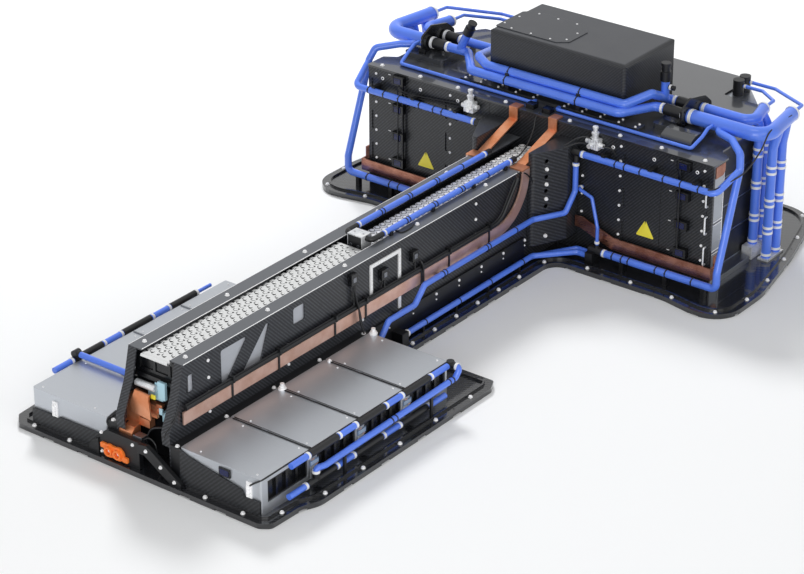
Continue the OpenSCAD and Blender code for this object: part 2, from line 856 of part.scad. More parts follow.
module gussets() {
    color(carbon)
        place()
            both()
                difference() {
                    plate(rounded(gusset_loop, [3, 12, 12, 2, 2], 6), gusset_foot, gusset_z);
                    plate(rounded(inset(gusset_loop, 4), [2, 8, 8, 2, 2], 6), gusset_foot - 1, gusset_z - 4);
                    translate([gusset_face[0], gusset_face[1], 0])
                        rotate([0, 0, -25.2])
                            for (z = [311, 264, 222, 176])
                                rod_x([-30, 0, z], 60, 6);
                }
}
gusset_loop = [[tunnel_half + fit, 1490], [102, 1490], [150, 1592], [150, panel_y - fit],
    [tunnel_half + fit, panel_y - fit]];
gusset_face = [121, 1530];

// front panel of the stack on the right
module rear_panel() {
    difference() {
        block([152, panel_y, deck], [panel_half, panel_y + panel_t, cover_z]);
        for (x = [302, 566], z = [86, 186, 286])
            along(rounded(box_loop(x - 4, z, x + 4, z + 58), [3.8, 3.8, 3.8, 3.8], 5), panel_y - 1, panel_y + 3);
        block([418, panel_y - 1, 60], [446, panel_y + 2, 340]);
    }
}

module rear_panel_r() {
    color(carbon)
        place()
            rear_panel();
}

module rear_panel_l() {
    color(carbon)
        place()
            mirror([1, 0, 0])
                rear_panel();
}

module rear_bulkhead() {
    color(black)
        place()
            block([-151, panel_y, deck], [151, panel_y + panel_t, cover_z]);
}

module screws() {
    color(silver)
        place() {
            both() {
                for (x = [288, 553], k = [0 : 6])
                    translate([x, panel_y, 98 + 44 * k])
                        rotate([90, 0, 0])
                            button(5, 3);
                for (x = [166], z = [133, 188, 241])
                    translate([x, panel_y, z])
                        rotate([90, 0, 0])
                            button(5, 3);
                for (x = [108, 273, 406, 543])
                    translate([x, panel_y + 15, cover_top])
                        button(6.5, 4);
                for (x = [262, 394, 530])
                    translate([x, panel_y, 352])
                        rotate([90, 0, 0])
                            button(7, 2);
                for (x = [286, 232, 172, 112, 52])
                    for (y = [back(69), back(90)])
                        translate([x, y, cover_top + 10])
                            button(4, 3);
                for (i = [0 : front_count - 1], x = [front_in + 52, front_out - 22], d = [14, front_pitch - 15])
                    translate([x, front_start + i * front_pitch + d, front_top])
                        button(3.5, 1.5);
                translate([gusset_face[0], gusset_face[1], 0])
                    rotate([0, 0, -25.2])
                        for (z = [288, 243, 199, 87])
                            rod_x([gusset_off, 0, z], 3, 5.5);
            }
            for (q = [[-210, 220], [-216, 157], [-177, 135], [-111, 135], [-46, 135], [-6, 158],
                [-8, 214], [-48, 271], [-112, 271], [-177, 271]])
                translate([q[0], back(q[1]), box_z + box_h + 2])
                    button(4, 1.5);
            for (q = [[-126, 14, 76], [-24, 14, 76], [-126, 14, 24]])
                translate(q)
                    rotate([90, 0, 0])
                        button(4.5, 4);
            for (q = [[24, 8, 78], [70, 8, 50], [112, 8, 24]])
                translate(q)
                    rotate([90, 0, 0])
                        button(5, 4);
        }
}
gusset_off = 0.05;

module service_fittings() {
    color(silver)
        place() {
            both() {
                block([194, panel_y - 22, 338], [226, panel_y - fit, 368]);
                rod_z([210, panel_y - 11, 368], 14, 8);
                rod_z([210, panel_y - 11, 382], 16, 5.5);
                rod_z([210, panel_y - 11, 398], 6, 7.5);
                rod_x([184, panel_y - 12, 354], 10, 6);
                rod_x([226, panel_y - 12, 350], 9, 5);
                block([pipe_in_x - 15, back(233), deck], [pipe_in_x + 17, back(317), 50]);
                block([pipe_out_x - 16, back(246), deck], [pipe_out_x + 16, back(332), deck + 6]);
            }
            for (z = [[262, 298], [182, 232], [91, 142]])
                hose([[567, panel_y - fit, z[0]], [567, panel_y - 11, z[0]], [567, panel_y - 11, z[1]],
                    [567, panel_y - fit, z[1]]], 2.5, 4);
        }
}

module rear_busbars() {
    color(copper)
        place()
            both() {
                end_x = panel_half + 15;
                along([[end_x, 54], [end_x, 90], [285, 90], [182, 124], [156, 124], [156, 92], [172, 92], [280, 54]],
                    panel_y - 18, panel_y - 13);
                across([[panel_y - 14, 54], [panel_y + 14, 54], [panel_y + 27, 70], [panel_y + 27, 120],
                    [panel_y + 2, 120], [panel_y + 2, 90], [panel_y - 14, 90]], end_x - 5, end_x);
                across([[panel_y + 14, 340], [panel_y + 50, 340], [panel_y + 60, 350], [panel_y + 60, 374],
                    [panel_y + 14, 374]], panel_half - 6 + fit, panel_half - 1);
            }
}

module top_straps() {
    color(copper)
        place()
            both() {
                across([[1664, cover_top], [1664, cover_top + 4], [panel_y - 8, cover_top + 4], [panel_y - 8, 353],
                    [1487, tunnel_top + 4], [1453, tunnel_top + 4], [1453, tunnel_top], [1488, tunnel_top],
                    [panel_y - 4, 349.5], [panel_y - 4, cover_top]], 52, 80);
                block([79, 1453, tunnel_top], [bar_x + bar_t, 1487, tunnel_top + 4]);
            }
}

// outline of the stack, right half then mirrored
stack_y = panel_y + panel_t + 1;
side_x = panel_half - 6;
waist_x = panel_half - 41;
stack_half = [[side_x, stack_y], [side_x, back(65)], [waist_x, back(65)], [waist_x, back(319)],
    [462, back(429)], [345, back(563)]];
stack_loop = concat([[-side_x, stack_y]], stack_half, [for (i = [5 : -1 : 1]) [-stack_half[i][0], stack_half[i][1]]]);

// outline of the base plate, on the right
base_half = [[side_x + 3, stack_y], [side_x + 3, back(219)], [waist_x + 3, back(229)], [waist_x + 3, back(321)],
    [464, back(432)], [345, back(567)]];

module rear_base() {
    color(alu)
        place()
            plate(concat([[-side_x - 3, stack_y]], base_half,
                [for (i = [5 : -1 : 1]) [-base_half[i][0], base_half[i][1]]]), deck, stack_z);
}

// one layer of the stack, with a shallow seam band at its top
module rear_layer(i) {
    z0 = stack_z + (i - 1) * layer_h;
    color(alu)
        place() {
            plate(stack_loop, z0, z0 + layer_h - 5);
            plate(inset(stack_loop, 3), z0 + layer_h - 5, z0 + layer_h);
        }
}

// outline of the cover on the right, with its rear corner cut away for the hose unions
cover_half = [[side_x + 8, panel_y - 3], [side_x + 8, back(71)], [waist_x + 6, back(93)], [waist_x + 6, back(319)],
    [474, back(424)], [346, back(429)], [346, back(570)]];

module cover() {
    color(black)
        place() {
            plate(rounded(concat([[-side_x - 8, panel_y - 3]], cover_half,
                [for (i = [6 : -1 : 1]) [-cover_half[i][0], cover_half[i][1]]]),
                [4, 4, 8, 12, 20, 10, 6, 8, 8, 6, 10, 20, 12, 8], 5), cover_z, cover_top);
            block([-300, back(63), cover_top], [300, back(97), cover_top + 10]);
            plate(rounded(box_loop(312, back(111), 462, back(284)), [10, 14, 14, 10], 6),
                cover_top, cover_top + pad_h);
            plate(rounded(box_loop(-538, back(111), -400, back(284)), [10, 14, 14, 10], 6),
                cover_top, cover_top + pad_h);
            across(rounded([[back(56), cover_top - 1], [back(111) + 1, cover_top - 1], [back(111) + 1, cover_top + 28],
                [back(84), cover_top + 28], [back(60), cover_top + 18]], [0.5, 0.5, 3, 8, 6], 4), 374, 470);
        }
}

module top_box() {
    r = 12;
    color(carbon)
        place() {
            difference() {
                intersection() {
                    plate(rounded(box_loop(-box_half, box_y0, box_half, box_y1), [r, r, r, r], 6),
                        box_z, box_z + box_h);
                    across(rounded(box_loop(box_y0, box_z, box_y1, box_z + box_h), [0.5, 0.5, r, r], 6),
                        -box_half - 1, box_half + 1);
                    along(rounded(box_loop(-box_half, box_z, box_half, box_z + box_h), [0.5, 0.5, r, r], 6),
                        box_y0 - 1, box_y1 + 1);
                }
                block([-box_half + 5, box_y0 + 5, box_z - 1], [box_half - 5, box_y1 - 5, box_z + box_h - 6]);
            }
            plate(rounded([[-226, back(125)], [-20, back(125)], [10, back(149)], [10, back(239)], [-30, back(283)],
                [-200, back(283)], [-226, back(259)]],
                [6, 6, 6, 6, 6, 6, 6], 4), box_z + box_h, box_z + box_h + 2);
        }
}

module main_hoses() {
    color(blue)
        place() {
            hose([[-424 + fit, couple_a, couple_z], [-345, couple_a, couple_z], [-262, back(63), 424],
                [235, back(63), 424], [290, couple_a, couple_z], [322 - fit, couple_a, couple_z]], main_r, 24);
            hose([[-424 + fit, couple_b, couple_z], [-300, couple_b, couple_z], [-266, back(104), 452],
                [-222, back(81), 444], [240, back(81), 444], [280, back(154), 462], [286, couple_b, couple_z],
                [322 - fit, couple_b, couple_z]], main_r, 16);
            rod_z([288, back(211), 440], 44, 12);
            translate([-376, couple_a, couple_z])
                rotate([0, 26, 0])
                    cylinder(h = 62, r = 12);
        }
}

module fittings() {
    color(black)
        place() {
            both() {
                rod_x([150 + fit, hose_y, tee_z], tee_x - 150 - 2 * fit, panel_hose_r + 1);
                rod_z([162, hose_y, tee_z - 28], 28, side_r + 1);
                rod_x([222 + fit, hose_y - 9, low_hose_z], 42 - 2 * fit, 12.5);
                block([222 + fit, hose_y - 34, deck], [246, hose_y + 6, 47]);
                rod_z([245, hose_y - 9, low_hose_z], 20, thin_r + 2);
                hose([[24 + fit, 861, 311], [42, 861, 311], [42, 905, 311]], 7.5, 10);
                rod_y([42, 1470, 311], 20, 8.5);
                block([tunnel_half + 7 + fit, 878, deck + lip_h + fit], [neck_out + 12, 904.8, neck_z + 21]);
                block([tunnel_half + 7 + fit, 878, deck], [neck_half - 26 - fit, 904.8, deck + lip_h + fit]);
            }
            for (y = [couple_a, couple_b]) {
                rod_x([322, y, couple_z], plate_r_x - 322 - fit, 16);
                rod_x([plate_l_x + plate_t + fit, y, couple_z], -424 - plate_l_x - plate_t - fit, 16);
            }
            rod_z([288, back(211), 484 + fit], 28, 15);
            rod_z([288, back(211), 512], 18, 11.5);
            rod_z([288, back(211), 530], 7, 14);
            rod_x([300 + fit, back(211), 468], 18, 7);
            both()
                for (y = [back(464), back(499)])
                    rod_z([372, y, cover_z], 46, 16);
            translate([-376, couple_a, couple_z])
                rotate([0, 26, 0])
                    translate([0, 0, 62 + fit]) {
                        cylinder(h = 24, r = 15);
                        cylinder(h = 38, r = 12);
                        translate([0, 0, 38])
                            cylinder(h = 5, r = 13.5);
                    }
        }
}

// plate that carries the two couplers
module bulkhead(x) {
    difference() {
        across(rounded([[back(123), cover_top + pad_h], [back(277), cover_top + pad_h], [back(277), 430],
            [back(243), 458], [back(169), 474], [back(123), 452]], [2, 2, 12, 12, 14, 10], 5), x, x + plate_t);
        for (y = [couple_a, couple_b])
            rod_x([x - 1, y, couple_z], plate_t + 2, 10);
        for (q = [[135, 444], [135, 408], [195, 452], [195, 408], [265, 424]])
            rod_x([x - 1, back(q[0]), q[1]], plate_t + 2, 3);
    }
    for (y = [back(123), back(273)])
        block([min(x, x + plate_t / 2 - 12), y, cover_top + pad_h], [x + plate_t / 2 + 12, y + 4, cover_top + pad_h + 14]);
}

module bulkheads() {
    color(black)
        place() {
            bulkhead(plate_r_x);
            bulkhead(plate_l_x);
        }
}

// corner header with its branches, drawn on the right from a start at x0
module header(x0, branch_x) {
    end_a = back(349);
    end_b = back(334);
    tip_a = corner_x - lean;
    tip_b = pipe_in_x - lean;
    hose([[x0, couple_a, couple_z], [corner_x, couple_a, couple_z], [tip_a, end_a, couple_z]], header_r, 46);
    hose([[x0, couple_b, couple_z], [pipe_in_x, couple_b, couple_z], [tip_b, end_b, couple_z]], 16, 30);
    for (y = pipes_out)
        hose([[pipe_out_x, y, pipe_out_z + fit], [pipe_out_x, y, 350],
            [leg_x(corner_x, couple_a, end_a, y), y, couple_z]], riser_r, 20);
    for (y = pipes_in)
        hose([[pipe_in_x, y, pipe_in_z + fit], [pipe_in_x, y, 394],
            [leg_x(pipe_in_x, couple_b, end_b, y), y, couple_z]], riser_r, 14);
    hose([[tip_b, end_b - 1, couple_z], [tip_b - 4, back(389), couple_z], [450, back(464), 408],
        [388 + fit, back(464), 408]], thin_r, 9);
    hose([[tip_a, end_a - 1, couple_z], [tip_a - 6, back(409), couple_z], [470, back(499), 408],
        [388 + fit, back(499), 408]], thin_r, 9);
    hose([[branch_x, couple_a, couple_z], [branch_x + 2, back(139), 414], [560, back(120), 412], [614, back(74), 402],
        [panel_half + 44, back(58), 368], [panel_half + 48, hose_y - 9, 96],
        [panel_half + 48, hose_y - 9, low_hose_z], [264, hose_y - 9, low_hose_z]], panel_hose_r + 1, 18);
    hose([[tee_x, hose_y, tee_z], [panel_half + 25, hose_y, tee_z], [panel_half + 44, back(53), 362]],
        panel_hose_r, 22);
}

module header_r() {
    color(blue)
        place()
            header(plate_r_x + plate_t + fit, 502);
}

module header_l() {
    color(blue)
        place()
            mirror([1, 0, 0])
                header(-plate_l_x + fit, 524);
}

module risers() {
    color(blue)
        place()
            both() {
                for (y = pipes_out)
                    rod_z([pipe_out_x, y, deck + 6], pipe_out_z - deck - 6, riser_r);
                for (y = pipes_in)
                    rod_z([pipe_in_x, y, 50], pipe_in_z - 50, riser_r);
            }
}

// thin hose along the cover's front edge that rises to a header at x
module cover_hose(x) {
    hose([[40, back(63) - fit, cover_top + 6], [40, back(47), cover_top + 6], [x - 6, back(47), cover_top + 6],
        [x, back(92), cover_top + 26], [x, back(119), couple_z], [x, couple_a - header_r - fit, couple_z]],
        thin_r, 9);
}

module side_hoses() {
    color(blue)
        place() {
            both() {
                hose([[112, 800, neck_z + 30], [112, 838, 109], [112, 950, 109], [112, 992, 151], [112, 1482, 151],
                    [158, 1572, 151], [162, hose_y, 204], [162, hose_y, tee_z - 28 - fit]], side_r, 16);
                hose([[neck_in, 905, neck_z - 2], [neck_in, 1490, neck_z - 2], [176, hose_y - 4, neck_z],
                    [222, hose_y - 4, neck_z]], side_r, 20);
                hose([[neck_out, 905, neck_z + 9], [neck_out, 1478, neck_z + 9], [188, hose_y - 23, neck_z],
                    [222, hose_y - 23, neck_z]], side_r, 20);
                hose([[166, panel_y - fit, 208], [166, hose_y + 12, 208], [214, hose_y + 6, 196],
                    [245, hose_y - 9, 120], [245, hose_y - 9, low_hose_z + 20 + fit]], thin_r, 9);
            }
            cover_hose(484);
            mirror([1, 0, 0])
                cover_hose(507);
        }
}

module clamps() {
    color(white)
        place() {
            both() {
                for (k = [0 : front_count - 2]) {
                    band([rail_x, 181 + front_pitch * k, rail_z], 1, side_r, 7, 2.5);
                    if (k < front_count - 2)
                        band([rail_x, 299 + front_pitch * k, rail_z], 1, side_r, 7, 2.5);
                    band([low_x, 166 + front_pitch * k, low_z], 1, side_r, 7, 2.5);
                    band([low_x, 284 + front_pitch * k, low_z], 1, side_r, 7, 2.5);
                }
                for (y = pipes_in, z = [336, 316, 237, 221, 139, 123, 60])
                    band([pipe_in_x, y, z], 2, riser_r, 7, 2.5);
                for (y = pipes_out, z = [294, 276, 196, 178, 112, 96, 30])
                    band([pipe_out_x, y, z], 2, riser_r, 7, 2.5);
                for (y = [back(464), back(499)])
                    band([394, y, 408], 0, thin_r, 6, 2);
                band([tee_x + 7, hose_y, tee_z], 0, panel_hose_r, 7, 2);
                band([270, hose_y - 9, low_hose_z], 0, panel_hose_r + 1, 7, 2);
                band([162, hose_y, tee_z - 34], 2, side_r, 7, 2);
                band([42, 912, 311], 1, side_r, 6, 1.8);
                band([42, 1462, 311], 1, side_r, 6, 1.8);
            }
            band([rail_x, 299 + front_pitch * (front_count - 2), rail_z], 1, side_r, 7, 2.5);
            band([-rail_x, 288 + front_pitch * (front_count - 2), rail_z], 1, rail_r, 7, 2);
            for (x = [314, -417])
                band([x, couple_a, couple_z], 0, main_r, 8, 3);
            band([314, couple_b, couple_z], 0, main_r, 8, 3);
            band([-417, couple_b, couple_z], 0, main_r, 8, 3);
            for (y = [couple_a, couple_b], x = [plate_r_x - 10, plate_l_x + plate_t + 10])
                band([x, y, couple_z], 0, 16, 9, 2.5);
            band([306, back(211), 468], 0, 7, 6, 2);
            band([plate_r_x + plate_t + 10, couple_a, couple_z], 0, header_r, 10, 2);
            band([plate_l_x - 10, couple_a, couple_z], 0, header_r, 10, 2);
            band([plate_r_x + plate_t + 10, couple_b, couple_z], 0, 16, 10, 2);
            band([plate_l_x - 10, couple_b, couple_z], 0, 16, 10, 2);
        }
}

tray();
tray_bolts();
front_fairings();
front_case(0);  // front_case_r1
front_case(1);  // front_case_r2
front_case(2);  // front_case_r3
front_case(3);  // front_case_r4
mirror([1, 0, 0]) front_case(0);  // front_case_l1
mirror([1, 0, 0]) front_case(1);  // front_case_l2
mirror([1, 0, 0]) front_case(2);  // front_case_l3
mirror([1, 0, 0]) front_case(3);  // front_case_l4
front_holders();
seam_straps();
module_latches();
front_rails();
front_hoses();
cell_tags();
tunnel_side_r();
tunnel_side_l();
tunnel_liners();
spine_rails();
tunnel_bolts();
vent_plate();
cell_spine();
vent_cells();
junction_block();
tunnel_hoses();
end_bracket();
end_insulators();
front_busbars();
hv_bracket();
hv_connector();
side_busbars();
clips();
side_cables();
side_frame();
connectors();
gussets();
rear_panel_r();
rear_panel_l();
rear_bulkhead();
screws();
service_fittings();
rear_busbars();
top_straps();
rear_base();
rear_layer(1);  // rear_layer_1
rear_layer(2);  // rear_layer_2
rear_layer(3);  // rear_layer_3
rear_layer(4);  // rear_layer_4
cover();
top_box();
main_hoses();
fittings();
bulkheads();
header_r();
header_l();
risers();
side_hoses();
clamps();
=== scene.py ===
"""Looks of an electric vehicle's battery pack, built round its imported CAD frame.

Sizes are millimetres in the fields and metres in the meshes, in the CAD's own frame: +Y runs from the
high-voltage connector to the stacked rear block, +X to the pack's right and +Z up.
"""

import logging
import math
from dataclasses import dataclass, field
from enum import Enum

import bmesh
import bpy
import numpy as np
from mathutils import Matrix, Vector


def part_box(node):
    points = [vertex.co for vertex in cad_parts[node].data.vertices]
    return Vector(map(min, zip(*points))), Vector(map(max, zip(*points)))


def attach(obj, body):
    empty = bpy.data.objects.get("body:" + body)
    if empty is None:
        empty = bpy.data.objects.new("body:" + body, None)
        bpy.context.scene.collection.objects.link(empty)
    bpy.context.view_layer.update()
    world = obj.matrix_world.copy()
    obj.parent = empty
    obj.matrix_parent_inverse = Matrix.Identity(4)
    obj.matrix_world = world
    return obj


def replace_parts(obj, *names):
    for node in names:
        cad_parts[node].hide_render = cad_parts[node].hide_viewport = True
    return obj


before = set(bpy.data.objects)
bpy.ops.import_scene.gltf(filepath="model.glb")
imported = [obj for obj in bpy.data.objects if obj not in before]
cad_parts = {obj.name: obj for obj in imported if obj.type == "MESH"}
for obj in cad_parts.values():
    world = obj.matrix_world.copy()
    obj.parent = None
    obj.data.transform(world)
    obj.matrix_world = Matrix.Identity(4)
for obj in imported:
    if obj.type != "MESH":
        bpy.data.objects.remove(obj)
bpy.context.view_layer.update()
MM = 0.001
MID_Y = 1120.0
LOG = logging.getLogger("battery_pack")


def linear(hex_colour: str) -> tuple[float, float, float, float]:
    """Turns an sRGB hex colour into the linear RGBA that a shader socket takes.

    Each channel c becomes c / 12.92 below 0.04045 and ((c + 0.055) / 1.055) ** 2.4 above it.

    Args:
        hex_colour: six hex digits, with or without a leading hash.

    Returns:
        Linear red, green, blue and an alpha of 1.
    """
    digits = hex_colour.lstrip("#")
    srgb = np.array([int(digits[i:i + 2], 16) / 255.0 for i in (0, 2, 4)])
    low, high = srgb / 12.92, ((srgb + 0.055) / 1.055) ** 2.4
    return (*(float(c) for c in np.where(srgb < 0.04045, low, high)), 1.0)


def add_node(tree: bpy.types.NodeTree, kind: str, inputs: dict | None = None, **settings: object) -> bpy.types.Node:
    """Adds one node with its settings, values and links.

    Args:
        tree: the node tree that it goes into.
        kind: the node's type name.
        inputs: socket name or number to a value, or to the output socket that feeds it.
        settings: attributes of the node itself.

    Returns:
        The new node.
    """
    made = tree.nodes.new(kind)
    for name, value in settings.items():
        setattr(made, name, value)
    for key, value in (inputs or {}).items():
        if isinstance(value, bpy.types.NodeSocket):
            tree.links.new(value, made.inputs[key])
        else:
            made.inputs[key].default_value = value
    return made


@dataclass(frozen=True)
class Finish:
    """One real finish: what it is made of and what its surface does to light."""

    name: str
    colour: str
    roughness: float = 0.4
    metallic: float = 0.0
    ior: float = 1.5
    edge_mm: float = 0.8
    coat: float = 0.0

    def material(self) -> bpy.types.Material:
        """Makes the finish's material once and then shares it.

        Returns:
            The material.
        """
        found = bpy.data.materials.get(self.name)
        if found:
            return found
        made = bpy.data.materials.new(self.name)
        made.use_nodes = True
        tree = made.node_tree
        shader = tree.nodes["Principled BSDF"]
        shader.inputs["Base Color"].default_value = linear(self.colour)
        shader.inputs["Roughness"].default_value = self.roughness
        shader.inputs["Metallic"].default_value = self.metallic
        if self.metallic < 0.5:
            shader.inputs["IOR"].default_value = self.ior
        if self.coat:
            shader.inputs["Coat Weight"].default_value = self.coat
            shader.inputs["Coat Roughness"].default_value = 0.04
        place = add_node(tree, "ShaderNodeTexCoord").outputs["Object"]
        self.dress(tree, shader, place)
        return made

    def rounded_edge(self, tree: bpy.types.NodeTree) -> bpy.types.NodeSocket:
        """Rounds sharp edges by the finish's own edge radius.

        Args:
            tree: the material's nodes.

        Returns:
            The socket that gives the rounded normal.
        """
        return add_node(tree, "ShaderNodeBevel", {"Radius": self.edge_mm * MM}, samples=4).outputs[0]

    def dress(self, tree: bpy.types.NodeTree, shader: bpy.types.Node, place: bpy.types.NodeSocket) -> None:
        """Adds the finish's own pattern.

        Args:
            tree: the material's nodes.
            shader: its Principled shader.
            place: object coordinates in metres; not used here.
        """
        tree.links.new(self.rounded_edge(tree), shader.inputs["Normal"])


@dataclass(frozen=True)
class WovenCarbon(Finish):
    """Clear-coated twill: tows show as fine diagonal ribs, and the coat gives a clean, soft mirror."""

    rib: str = "34363b"
    pitch_mm: float = 11.0
    depth_mm: float = 0.25
    # Painted sheen: above this height the ribs are left out and the colour turns to the lighter plain grey, where the
    # top faces mirror the bright surround.
    sheen_above_mm: float = 1000.0
    plain: str = "5a5d62"

    def dress(self, tree: bpy.types.NodeTree, shader: bpy.types.Node, place: bpy.types.NodeSocket) -> None:
        """Draws the ribs along x - y - z = constant, broken across into tow floats.

        The real tows are 2 to 3 mm wide, and they are drawn coarser so that they show at this size.

        Args:
            tree: the material's nodes.
            shader: its Principled shader.
            place: object coordinates in metres.
        """
        turn = 2 * math.pi / (self.pitch_mm * MM)
        along = add_node(tree, "ShaderNodeVectorMath", {0: place, 1: (1.0, -1.0, -1.0)}, operation="DOT_PRODUCT")
        across = add_node(tree, "ShaderNodeVectorMath", {0: place, 1: (1.0, 1.0, 1.0)}, operation="DOT_PRODUCT")
        phase = add_node(tree, "ShaderNodeMath", {0: along.outputs["Value"], 1: turn}, operation="MULTIPLY")
        step = add_node(tree, "ShaderNodeMath", {0: across.outputs["Value"], 1: turn * 0.5}, operation="MULTIPLY")
        rib = add_node(tree, "ShaderNodeMath", {0: phase.outputs[0]}, operation="SINE")
        broken = add_node(tree, "ShaderNodeMath", {0: step.outputs[0]}, operation="SINE")
        mixed = add_node(tree, "ShaderNodeMath", {0: broken.outputs[0], 1: 0.22, 2: rib.outputs[0]},
                         operation="MULTIPLY_ADD")
        level = add_node(tree, "ShaderNodeMapRange", {"Value": mixed.outputs[0], "From Min": -0.5, "From Max": 0.9})
        speck = add_node(tree, "ShaderNodeTexNoise", {"Vector": place, "Scale": 260.0, "Detail": 2.0})
        worn = add_node(tree, "ShaderNodeMath", {0: level.outputs[0], 1: speck.outputs[0]}, operation="MULTIPLY")
        colour = add_node(tree, "ShaderNodeMix", {0: worn.outputs[0], 6: linear(self.colour), 7: linear(self.rib)},
                          data_type="RGBA")
        # Painted sheen: faces above the set height take the lighter plain grey and lose their ribs.
        height = add_node(tree, "ShaderNodeSeparateXYZ", {0: place})
        above = add_node(tree, "ShaderNodeMath", {0: height.outputs["Z"], 1: self.sheen_above_mm * MM},
                         operation="GREATER_THAN")
        top_sheen_colour = add_node(tree, "ShaderNodeMix", {0: above.outputs[0], 6: colour.outputs[2], 7: linear(self.plain)},
                          data_type="RGBA")
        tree.links.new(top_sheen_colour.outputs[2], shader.inputs["Base Color"])
        relief = add_node(tree, "ShaderNodeMath", {0: 1.0, 1: above.outputs[0]}, operation="SUBTRACT")
        ribbed = add_node(tree, "ShaderNodeMath", {0: rib.outputs[0], 1: relief.outputs[0]}, operation="MULTIPLY")
        bump = add_node(tree, "ShaderNodeBump", {"Height": ribbed.outputs[0], "Strength": 0.35,
                                                 "Distance": self.depth_mm * MM, "Normal": self.rounded_edge(tree)})
        tree.links.new(bump.outputs[0], shader.inputs["Normal"])
        haze = add_node(tree, "ShaderNodeTexNoise", {"Vector": place, "Scale": 9.0, "Detail": 4.0})
        rough = add_node(tree, "ShaderNodeMapRange", {"Value": haze.outputs[0], "To Min": self.roughness - 0.05,
                                                      "To Max": self.roughness + 0.07})
        tree.links.new(rough.outputs[0], shader.inputs["Roughness"])


@dataclass(frozen=True)
class Moulded(Finish):
    """Injection-moulded polymer: a fine spark-eroded grain that softens its highlights."""

    grain_mm: float = 1.2
    grain_depth_mm: float = 0.06

    def dress(self, tree: bpy.types.NodeTree, shader: bpy.types.Node, place: bpy.types.NodeSocket) -> None:
        """Adds the mould's grain and a slow change of tone.

        Args:
            tree: the material's nodes.
            shader: its Principled shader.
            place: object coordinates in metres.
        """
        grain = add_node(tree, "ShaderNodeTexNoise", {"Vector": place, "Scale": 1.0 / (self.grain_mm * MM),
                                                      "Detail": 3.0, "Roughness": 0.6})
        bump = add_node(tree, "ShaderNodeBump", {"Height": grain.outputs[0], "Strength": 0.5,
                                                 "Distance": self.grain_depth_mm * MM,
                                                 "Normal": self.rounded_edge(tree)})
        tree.links.new(bump.outputs[0], shader.inputs["Normal"])
        tone = add_node(tree, "ShaderNodeTexNoise", {"Vector": place, "Scale": 14.0, "Detail": 3.0})
        shift = add_node(tree, "ShaderNodeMapRange", {"Value": tone.outputs[0], "To Min": 0.86, "To Max": 1.12})
        colour = add_node(tree, "ShaderNodeMix", {0: 1.0, 6: linear(self.colour), 7: shift.outputs[0]},
                          data_type="RGBA", blend_type="MULTIPLY")
        tree.links.new(colour.outputs[2], shader.inputs["Base Color"])


class Grain(Enum):
    """Direction in which a metal sheet was brushed."""

    ALONG_X = (1.0, 30.0, 30.0)
    ALONG_Y = (30.0, 1.0, 30.0)
    NONE = (8.0, 8.0, 8.0)


@dataclass(frozen=True)
class Metal(Finish):
    """Bare or plated metal: brushing lines stretch its highlights, and handling leaves a faint mottle."""

    grain: Grain = Grain.NONE
    line_mm: float = 1.5
    mottle: str = ""

    def dress(self, tree: bpy.types.NodeTree, shader: bpy.types.Node, place: bpy.types.NodeSocket) -> None:
        """Adds brushing lines to roughness and bump, and a mottle to the colour.

        Args:
            tree: the material's nodes.
            shader: its Principled shader.
            place: object coordinates in metres.
        """
        fine = 1.0 / (30.0 * self.line_mm * MM)
        pulled = add_node(tree, "ShaderNodeMapping", {"Vector": place,
                                                      "Scale": tuple(s * fine for s in self.grain.value)})
        lines = add_node(tree, "ShaderNodeTexNoise", {"Vector": pulled.outputs[0], "Scale": 1.0, "Detail": 3.0})
        rough = add_node(tree, "ShaderNodeMapRange", {"Value": lines.outputs[0], "From Min": 0.3, "From Max": 0.7,
                                                      "To Min": max(0.05, self.roughness - 0.07),
                                                      "To Max": self.roughness + 0.09})
        tree.links.new(rough.outputs[0], shader.inputs["Roughness"])
        bump = add_node(tree, "ShaderNodeBump", {"Height": lines.outputs[0], "Strength": 0.06, "Distance": 0.00005,
                                                 "Normal": self.rounded_edge(tree)})
        tree.links.new(bump.outputs[0], shader.inputs["Normal"])
        if self.mottle:
            cloud = add_node(tree, "ShaderNodeTexNoise", {"Vector": place, "Scale": 22.0, "Detail": 6.0,
                                                          "Roughness": 0.62})
            share = add_node(tree, "ShaderNodeMapRange", {"Value": cloud.outputs[0], "From Min": 0.38,
                                                          "From Max": 0.66})
            colour = add_node(tree, "ShaderNodeMix", {0: share.outputs[0], 6: linear(self.colour),
                                                      7: linear(self.mottle)}, data_type="RGBA")
            tree.links.new(colour.outputs[2], shader.inputs["Base Color"])


# Tray: the glossiest sheet, a near-black mirror that shows the hoses above it.
CARBON_TRAY = WovenCarbon("coated_carbon_tray", "17181b", 0.22, rib="34363b", pitch_mm=14.0, coat=0.9)
# Tunnel walls: the clearest ribs, lighter than the tray, under a flange painted a smooth lighter grey, a painted sheen
# of the bright surround.
CARBON_WALL = WovenCarbon("coated_carbon_wall", "1d1e22", 0.36, rib="54575d", pitch_mm=10.7, sheen_above_mm=299.0)
# Front fairings: dull and dark, with coarse ribs near the eye.
CARBON_FOOT = WovenCarbon("coated_carbon_fairing", "131417", 0.36, rib="3c3f44", pitch_mm=12.0)
# Rear panels: fine ribs in half shade.
CARBON_PANEL = WovenCarbon("coated_carbon_panel", "17181b", 0.32, rib="46494e", pitch_mm=10.0)
# Box: faint ribs on its sides, and a lid painted an even dark grey, lighter than the sides, as a painted sheen.
CARBON_BOX = WovenCarbon("coated_carbon_box", "1d1e22", 0.36, rib="3c3f44", pitch_mm=9.0, edge_mm=1.5,
                         sheen_above_mm=546.5, plain="33353a")
# Cover: smooth and dark, with soft mirrored patches of the hoses, and its top face painted a lighter grey as a painted
# sheen.
COVER_SKIN = WovenCarbon("coated_carbon_cover", "1b1c1f", 0.3, rib="303237", pitch_mm=9.0, edge_mm=1.5, coat=0.8,
                         sheen_above_mm=383.5, plain="35373b")
